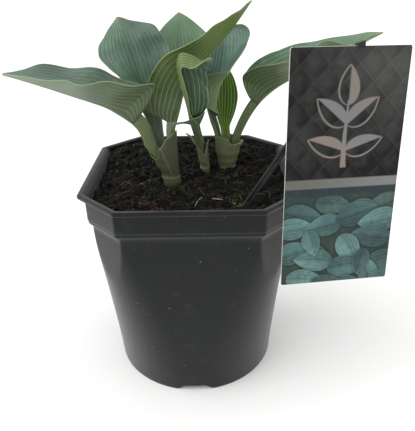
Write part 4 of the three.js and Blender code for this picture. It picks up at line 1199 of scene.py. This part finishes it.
# The hooded leaf's torn lower edge: its right margin runs on in front of the stalk and ends in a narrow
# strip that curls at the tip. It is the same leaf, so it has the same two sides and veins along it.
flap_upper = [(9.7, -18.6, 193.3), (8.3, -18.4, 191.8), (6.3, -18.6, 190.0), (2.3, -19, 188.7),
              (-3.4, -20, 187.2), (-8.2, -21, 186.9), (-12.9, -22.3, 187.4), (-14.4, -23.4, 186.7)]
flap_lower = [(6.9, -12.5, 184.7), (5.2, -10, 180.4), (3.3, -9, 177.3), (0.9, -14.5, 183.1),
              (-3.4, -18.2, 185.3), (-8.2, -20.5, 185.3), (-12.6, -22, 185.1), (-13.8, -24.2, 186.0)]
flap_columns = 90
flap_rows = 15
flap_veins = 4
flap_thickness = 0.55
flap_margin_round = 0.4
flap_belly = 0.9 * np.array([0.2, 0.75, -0.5])
flap_tones = ("#4d6144", "#3f5a54")

u = np.linspace(0, 1, flap_columns)
high, flap_length = smooth_run(flap_upper, u)
low, _ = smooth_run(flap_lower, u)
w = np.linspace(0, 1, flap_rows)
bellied = np.sin(math.pi * w)[:, None] * (1 - ease(u / 0.9))
sheet = mix(high, low, w[:, None, None]) + bellied[..., None] * flap_belly
normal = unit(np.cross(np.gradient(sheet, axis=1), np.gradient(sheet, axis=0)))
width = np.linalg.norm(high - low, axis=1)
to_edge = np.minimum(w, 1 - w)[:, None] * width
thickness = flap_thickness * edge_share(to_edge, flap_margin_round, 0.25)
half_through = normal * thickness[..., None] / 2
points, faces, side = closed_sheet(sheet + half_through, sheet - half_through)
flap = add_piece("leaf_hooded_flap", points, faces, [upper_material, under_material], 1 - side)
tone = mix(linear(flap_tones[0]), linear(flap_tones[1]), ease((u - 0.3) / 0.5)[:, None])
veins = [linear(vein_colour), linear(under_vein_colour)]
dress_blade(flap, w[:, None] * flap_veins, u * flap_length, [tone, tone], veins, 1, width / flap_veins,
            to_edge)
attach(flap, "root")

# The label's card: a stiff white plastic sheet 0.8 mm thick, printed on its front in matt charcoal that
# looks quilted, with a plain sprig and a band in silver foil, and below them a picture of teal leaves.
card_width = 68
card_height = 139
card_thickness = 0.8
card_corner_radius = 1.5
card_edge = 0.12
card_cell = 0.4
ink_softness = 0.5
card_corner = np.array([54.4, -53, 235.7])
band_top = 72.5
band_bottom = 78
quilt_width = 17
quilt_height = 18.4
quilt_start = 3
seam_half = 0.022
painted_reflection_patches = [
    # painted reflection, where the field is lighter: middle across and down, twice the square of its
    # spread, strength
    (60, 12, 800, 1), (8, 52, 300, 0.18),
]
sprig_middle = 34
sprig_top = 28
sprig_bottom = 66
field_dark = "#141413"
field_light = "#484a48"
seam_light = "#6c6b67"
strip_colour = "#2b3638"
gap_dark = "#2f3e3b"
gap_brown = "#47443b"
# tones of the silver foil, between which its painted reflections run
foil_dark = "#66655f"
foil_light = "#797b7b"
foil_warm = "#857a70"
sheet_white = "#cfcfca"
sheet_marked = "#b2b0a8"
picture_tones = ["#465f5e", "#51706e", "#5d7e7b", "#4c645f", "#6b8d8a"]
printed_leaves = [
    # stalk end across and down, direction in degrees, length, half width, tone
    (0, 92, 10, 24, 6.6, 0), (19, 87, 6, 22, 6.2, 3), (40, 90, 17, 25, 7.2, 1),
    (72, 86, 160, 24, 6.8, 3), (-4, 103, -4, 23, 7.0, 2), (36, 99, 168, 23, 7.0, 1),
    (33, 98, -16, 26, 7.6, 0), (72, 98, 172, 26, 7.8, 2), (8, 115, 26, 27, 7.8, 3),
    (68, 112, 190, 26, 7.4, 0), (-3, 121, -18, 22, 7.4, 1), (36, 108, 58, 23, 7.4, 4),
    (32, 125, 186, 25, 7.2, 2), (29, 130, -6, 26, 7.4, 1), (74, 125, 166, 26, 7.8, 3),
    (3, 135, 8, 25, 7.2, 4), (35, 139, 22, 23, 6.6, 0), (59, 142, 246, 20, 6.6, 2),
    (-3, 142, 22, 16, 6.0, 0), (18, 142, -12, 20, 6.2, 3), (76, 141, 190, 20, 6.4, 1),
    (15, 104, 70, 18, 5.6, 2), (52, 118, 102, 18, 5.6, 0),
]
sprig_leaves = [
    # stalk end across and down, direction in degrees, length, half width, which half is solid
    (34, 31, -90, 22, 6.4, 1), (33.4, 42, -139, 23, 6.4, 1), (34.6, 42, -41, 23, 6.4, -1),
    (33.6, 57, -161, 23, 6.2, 1), (34.4, 57, -19, 23, 6.2, -1),
]


def hashed(a, b):
    """A number from 0 to 1 for each pair of whole numbers, by the fractional part of a large sine."""
    value = np.sin(a * 127.1 + b * 311.7) * 43758.5453
    return value - np.floor(value)


def cloud_at(x, y, cell):
    """Soft noise from 0 to 1: random values at a square lattice's corners, eased from one to the next."""
    i, j = np.floor(x / cell), np.floor(y / cell)
    s, t = ease(x / cell - i), ease(y / cell - j)
    return mix(mix(hashed(i, j), hashed(i + 1, j), s), mix(hashed(i, j + 1), hashed(i + 1, j + 1), s), t)


def leaf_places(x, y, start_x, start_y, direction, length, half_width):
    """Share along a printed leaf from its stalk end, place across from -1 to 1, and its half width there.
    The half width is the share to the power 0.6 times the rest to the power 0.9, so the base is broad."""
    turn = math.radians(direction)
    dx, dy = x - start_x, y - start_y
    p = (dx * math.cos(turn) + dy * math.sin(turn)) / length
    q = dy * math.cos(turn) - dx * math.sin(turn)
    held = np.clip(p, 1e-6, 1 - 1e-6)
    half = half_width * held ** 0.6 * (1 - held) ** 0.9 / 0.376
    return p, q / half, half


def cover(depth):
    """Share of ink at a depth in millimetres inside a printed shape, whose edge is soft."""
    return np.clip(0.5 + depth / ink_softness, 0, 1)


def quilted_field(x, y):
    """Linear colour of the field: marbled charcoal in diamonds that puff up between pale stitched seams,
    lightened by a painted reflection at the upper right and a little at the left, and darker towards the
    bottom.
    """
    a = (x + quilt_start) / quilt_width + y / quilt_height
    b = (x + quilt_start) / quilt_width - y / quilt_height
    fa, fb = a - np.floor(a), b - np.floor(b)
    puff = np.sin(math.pi * fa) * np.sin(math.pi * fb)
    lean = np.cos(math.pi * fa) * np.sin(math.pi * fb) + 0.7 * np.cos(math.pi * fb) * np.sin(math.pi * fa)
    # Painted reflection: the field and its seams are lighter around these patches.
    painted_reflection_share = sum(strength * np.exp(-((x - middle_x) ** 2 + (y - middle_y) ** 2) / spread)
               for middle_x, middle_y, spread, strength in painted_reflection_patches)
    marble = 0.6 * cloud_at(x, y, 7.5) + 0.4 * cloud_at(x + 40, y, 2.7)
    share = np.clip(0.2 + 0.62 * painted_reflection_share + 0.5 * (marble - 0.5) + 0.13 * lean + 0.12 * puff - y / 330, 0, 1)
    colour = mix(linear(field_dark), linear(field_light), share[..., None])
    to_seam = np.minimum(np.minimum(fa, 1 - fa), np.minimum(fb, 1 - fb))
    seam = np.exp(-(to_seam / seam_half) ** 2)
    stitch = 0.7 + 0.3 * np.sin(x * 5)
    return mix(colour, linear(seam_light), (0.3 * seam * stitch * (0.45 + painted_reflection_share))[..., None])


def sprig_foil(x, y):
    """Share of foil of the sprig: a stem that widens downwards, and broad leaves that are an outline with
    one half solid."""
    stem_half = mix(0.45, 1.7, np.clip((y - sprig_top) / (sprig_bottom - sprig_top), 0, 1))
    from_stem = np.abs(x - sprig_middle - 0.5 * np.sin(y * 0.09))
    foil = cover(stem_half - from_stem) * cover(y - sprig_top) * cover(sprig_bottom - y)
    for *leaf, solid_half in sprig_leaves:
        p, across, half = leaf_places(x, y, *leaf)
        depth = (1 - np.abs(across)) * half
        outline = cover(depth) * cover(1 - depth)
        solid = cover(depth) * cover(across * half * solid_half - 0.5)
        foil = np.maximum(foil, np.maximum(outline, solid) * (p > 0) * (p < 1))
    return foil


def leaf_picture(x, y):
    """Linear colour of the picture: leaves that lap and shade one another, with fine veins and pale
    margins, on a dark ground. A plain strip above them has a ragged lower edge."""
    ground = np.clip(2.2 * cloud_at(x, y, 3.1) - 1.3, 0, 1)
    picture = mix(linear(gap_dark), linear(gap_brown), ground[..., None])
    for number, (*leaf, tone) in enumerate(printed_leaves):
        p, across, half = leaf_places(x, y, *leaf)
        side = np.abs(across)
        to_margin = (1 - side) * half
        shadow = np.exp(-np.maximum(-to_margin, 0) ** 2 / 2) * (p > -0.05) * (p < 1.06)
        veins = 0.1 * np.cos(across * 19) * (side < 0.92) - 0.22 * np.exp(-(across * half / 0.35) ** 2)
        lit_half = 0.14 * np.sign(across + 1e-6) * (number % 2 * 2 - 1)
        shade = 0.88 + veins + lit_half
        shade = shade + 0.5 * np.exp(-(to_margin / 0.45) ** 2) + 0.3 * (cloud_at(x, y, 2.2) - 0.5)
        shade = shade * mix(0.72, 1.1, np.clip(p, 0, 1))
        painted = linear(picture_tones[tone]) * shade[..., None]
        inside = cover(to_margin) * (p > 0) * (p < 1)
        picture = mix(picture * (1 - 0.35 * shadow)[..., None], painted, inside[..., None])
    strip = linear(strip_colour) * (0.9 + 0.25 * cloud_at(x, y, 4))[..., None]
    ragged = band_bottom + 2.5 + 2.5 * cloud_at(x, y * 0, 5.0)
    return mix(strip, picture, ease((y - ragged) / 2.2)[..., None])


def card_print(x, y):
    """Linear colour of the card's front and its share of silver foil, at millimetres across and down."""
    # Painted reflections: broad waves on the sprig's foil, and dark to light across the band.
    foil_painted_reflection = 0.5 + 0.5 * np.sin(x * 0.13 - y * 0.1 + 0.8)
    silver = mix(linear(foil_warm), linear(foil_light), foil_painted_reflection[..., None])
    foil = sprig_foil(x, y)
    colour = mix(quilted_field(x, y), silver, foil[..., None])
    colour = mix(colour, leaf_picture(x, y), cover(y - band_bottom)[..., None])
    band = cover(y - band_top) * cover(band_bottom - y)
    band_painted_reflection = mix(linear(foil_dark), linear(foil_light), ease(x / card_width)[..., None])
    colour = mix(colour, band_painted_reflection, band[..., None])
    colour[..., 3] = 1
    return colour, np.maximum(foil, band)


card_across = unit(np.array([71, 10, -1]))
card_facing = unit(np.cross(card_across, [0, 17, 145]))
card_up = np.cross(card_facing, card_across)


def on_card(across, up, out):
    """Points at millimetres across the card from its top left corner, up from it and out of its front."""
    across, up, out = (np.asarray(value, float)[..., None] for value in (across, up, out))
    return card_corner + across * card_across + up * card_up + out * card_facing


def round_corners(x, y):
    """Draws a rectangle's points in so that its corners are quarter circles: there the larger of the two
    distances past the corner's middle becomes the distance from that middle."""
    dx = x - np.clip(x, card_corner_radius, card_width - card_corner_radius)
    dy = y - np.clip(y, card_corner_radius, card_height - card_corner_radius)
    draw = np.maximum(np.abs(dx), np.abs(dy)) / np.maximum(np.hypot(dx, dy), 1e-9)
    draw = np.where((dx != 0) & (dy != 0), draw, 1)
    return x - dx * (1 - draw), y - dy * (1 - draw)


# The printed face is a fine grid that stops just short of the card's cut edge. Three rings lead from it
# over the bevel, down the edge and round onto the back.
columns, rows = int(card_width / card_cell) + 1, int(card_height / card_cell) + 1
x, y = np.meshgrid(np.linspace(card_edge, card_width - card_edge, columns),
                   np.linspace(card_edge, card_height - card_edge, rows))
x, y = round_corners(x, y)
front = on_card(x, -y, np.zeros_like(x)).reshape(-1, 3)
print_colour, foil = card_print(x, y)
border = grid_border(rows, columns)
middle = np.array([card_width, card_height]) / 2
border_places = np.stack([x.reshape(-1)[border], y.reshape(-1)[border]])
out_to_edge = (middle / (middle - card_edge))[:, None]
wide_places = middle[:, None] + (border_places - middle[:, None]) * out_to_edge
side_rings = [on_card(across, -down, np.full(len(border), -behind)) for (across, down), behind in (
    (wide_places, card_edge), (wide_places, card_thickness - card_edge), (border_places, card_thickness))]
first_ring = len(front) + np.arange(len(border))
points = np.concatenate([front, *side_rings, [on_card(*(middle * (1, -1)), -card_thickness)]])
faces = [
    *grid_faces(rows, columns)[:, ::-1],
    *joining_faces(border, first_ring)[:, ::-1],
    *grid_faces(3, len(border), around=True, first=len(front)),
    *closing_fan(first_ring + 2 * len(border), len(points) - 1),
]
bare_side = np.ones(len(faces))
bare_side[:(rows - 1) * (columns - 1)] = 0

# Print: matt charcoal and teal inks under a thin clear film, and silver foil that mirrors softly.
print_material, tree, shader = new_material("printed_label_front")
place = add_node(tree, "TexCoord").outputs["Object"]
ink = add_node(tree, "Attribute", attribute_name="ink").outputs["Color"]
foil_share = add_node(tree, "Attribute", attribute_name="foil").outputs["Fac"]
grain = add_node(tree, "TexNoise", {"Vector": place, "Scale": 1 / (0.6 * mm), "Detail": 3.0})
shade = add_node(tree, "MapRange", {"Value": grain, "To Min": 0.9, "To Max": 1.1})
inked = add_node(tree, "Mix", {0: 1.0, 6: ink, 7: shade}, data_type="RGBA", blend_type="MULTIPLY")
metal = add_node(tree, "Math", {0: foil_share, 1: 0.55}, operation="MULTIPLY")
rough = add_node(tree, "MapRange", {"Value": foil_share, "To Min": 0.42, "To Max": 0.33})
feed(shader, {"Base Color": inked, "Metallic": metal, "Roughness": rough, "Specular IOR Level": 0.15})

# The bare sheet: white plastic, slightly grey on its cut edge and with a few handling marks on its back.
sheet_material, tree, shader = new_material("white_label_plastic")
place = add_node(tree, "TexCoord").outputs["Object"]
mark = add_node(tree, "TexNoise", {"Vector": place, "Scale": 1 / (11 * mm), "Detail": 5.0,
                                   "Roughness": 0.65})
share = add_node(tree, "MapRange", {
    "Value": mark, "From Min": 0.5, "From Max": 0.8, "To Min": 0.0, "To Max": 0.3})
tint = add_node(tree, "Mix", {0: share, 6: sheet_white, 7: sheet_marked}, data_type="RGBA")
rough = add_node(tree, "MapRange", {"Value": mark, "To Min": 0.35, "To Max": 0.55})
feed(shader, {"Base Color": tint, "Roughness": rough})

card = add_piece("label_card_sheet", points, faces, [print_material, sheet_material], bare_side)
ink = np.ones((len(points), 4))
ink[:len(front)] = print_colour.reshape(-1, 4)
foil_at_points = np.zeros(len(points))
foil_at_points[:len(front)] = foil.reshape(-1)
store_at_points(card, "ink", ink)
store_at_points(card, "foil", foil_at_points)
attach(card, "root")
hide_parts("label_card")

# The label's stake: a slim moulded bar of dark plastic with a groove along its face, which slants out of
# the soil and ends in a clip that grips the card's top edge between two short jaws.
stake_width = 3.4
stake_depth = 2.4
groove_width = 1.5
groove_depth = 0.4
stake_foot = np.array([18.4, -48, 118])
clip_at = 0.57 * card_width
clip_width = 4.2
clip_gap = 0.3
clip_rise = 2.7
clip_low_side = 1.3
clip_reach = 1
clip_jaw = 0.7
clip_bevel = 0.2
bar_edge_round = 0.28
clip_edge_round = 0.22
stake_colour = "#191b1c"
stake_worn = "#292b2b"


def rounded_loop(corners, radius, steps=4):
    """A closed outline whose corners are drawn round: each is a short parabola between points set back."""
    corners = np.asarray(corners, float)
    before, after = np.roll(corners, 1, axis=0) - corners, np.roll(corners, -1, axis=0) - corners
    back = radius / np.linalg.norm(before, axis=1, keepdims=True)
    ahead = radius / np.linalg.norm(after, axis=1, keepdims=True)
    t = np.linspace(0, 1, steps)[:, None, None]
    start, end = corners + before * back, corners + after * ahead
    curve = (1 - t) ** 2 * start + 2 * t * (1 - t) * corners + t ** 2 * end
    return curve.transpose(1, 0, 2).reshape(-1, 2)


def ends_closed(stations):
    """Points and faces of a solid from outlines in a row, with its two ends closed."""
    count = stations.shape[1]
    last = (len(stations) - 1) * count + np.arange(count)
    sides = grid_faces(len(stations), count, around=True)
    return stations.reshape(-1, 3), [*sides, np.arange(count)[::-1], last]


# The bar: one outline in stations from its narrow foot to its bevelled head.
stake_head = on_card(clip_at, clip_rise * 0.3, -card_thickness - clip_gap - stake_depth / 2)
bar_up = stake_head - stake_foot
bar_length = np.linalg.norm(bar_up)
bar_up = unit(bar_up)
bar_across = -unit(np.cross(card_facing, bar_up))
bar_facing = np.cross(bar_across, bar_up)
half, deep, groove = stake_width / 2, stake_depth / 2, groove_width / 2
bar_outline = rounded_loop([(-half, -deep), (half, -deep), (half, deep), (groove, deep),
                            (groove * 0.8, deep - groove_depth), (-groove * 0.8, deep - groove_depth),
                            (-groove, deep), (-half, deep)], bar_edge_round)
bar_stations = []
for along, wide, thick in (
        # distance from the foot, shares of the width and of the depth
        (0, 0.1, 0.55), (3, 0.4, 0.7), (8, 1, 1), (40, 1, 1), (80, 1, 1),
        (bar_length - 0.4, 1, 1), (bar_length, 0.85, 1)):
    across, out = (bar_outline * (wide, thick)).T[..., None]
    bar_stations.append(stake_foot + along * bar_up + across * bar_across + out * bar_facing)
bar_points, bar_faces = ends_closed(np.stack(bar_stations))

# The clip: a back, a top and a short front jaw in one outline, bevelled at both sides.
clip_back = -card_thickness - clip_gap
clip_stations = []
for across, inset in ((-clip_width / 2, clip_bevel), (-clip_width / 2 + clip_bevel, 0),
                      (clip_width / 2 - clip_bevel, 0), (clip_width / 2, clip_bevel)):
    outer_back, outer_front = clip_back - stake_depth + inset, clip_gap + clip_jaw - inset
    top = mix(clip_low_side, clip_rise, across / clip_width + 0.5) - inset
    bottom = -clip_reach + inset
    inner_back, inner_front, inner_top = clip_back - inset, clip_gap + inset, clip_gap + inset
    outline = rounded_loop([(outer_back, bottom), (inner_back, bottom), (inner_back, inner_top),
                            (inner_front, inner_top), (inner_front, bottom), (outer_front, bottom),
                            (outer_front, top), (outer_back, top)], clip_edge_round)
    clip_stations.append(on_card(clip_at + across, outline[:, 1], outline[:, 0]))
clip_points, clip_faces = ends_closed(np.stack(clip_stations))
faces = [*bar_faces, *[np.asarray(face) + len(bar_points) for face in clip_faces]]

# Moulded dark plastic, a little paler where it is worn, with dust in places.
stake_material, tree, shader = new_material("moulded_stake_plastic")
place = add_node(tree, "TexCoord").outputs["Object"]
cloud = add_node(tree, "TexNoise", {"Vector": place, "Scale": 1 / (4 * mm), "Detail": 4.0})
tint = add_node(tree, "Mix", {0: cloud, 6: stake_colour, 7: stake_worn}, data_type="RGBA")
rough = add_node(tree, "MapRange", {"Value": cloud, "To Min": 0.35, "To Max": 0.55})
feed(shader, {"Base Color": tint, "Roughness": rough, "Specular IOR Level": 0.25})

stake = add_piece("label_stake_bar", np.concatenate([bar_points, clip_points]), faces, [stake_material])
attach(stake, "root")
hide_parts("label_stake")
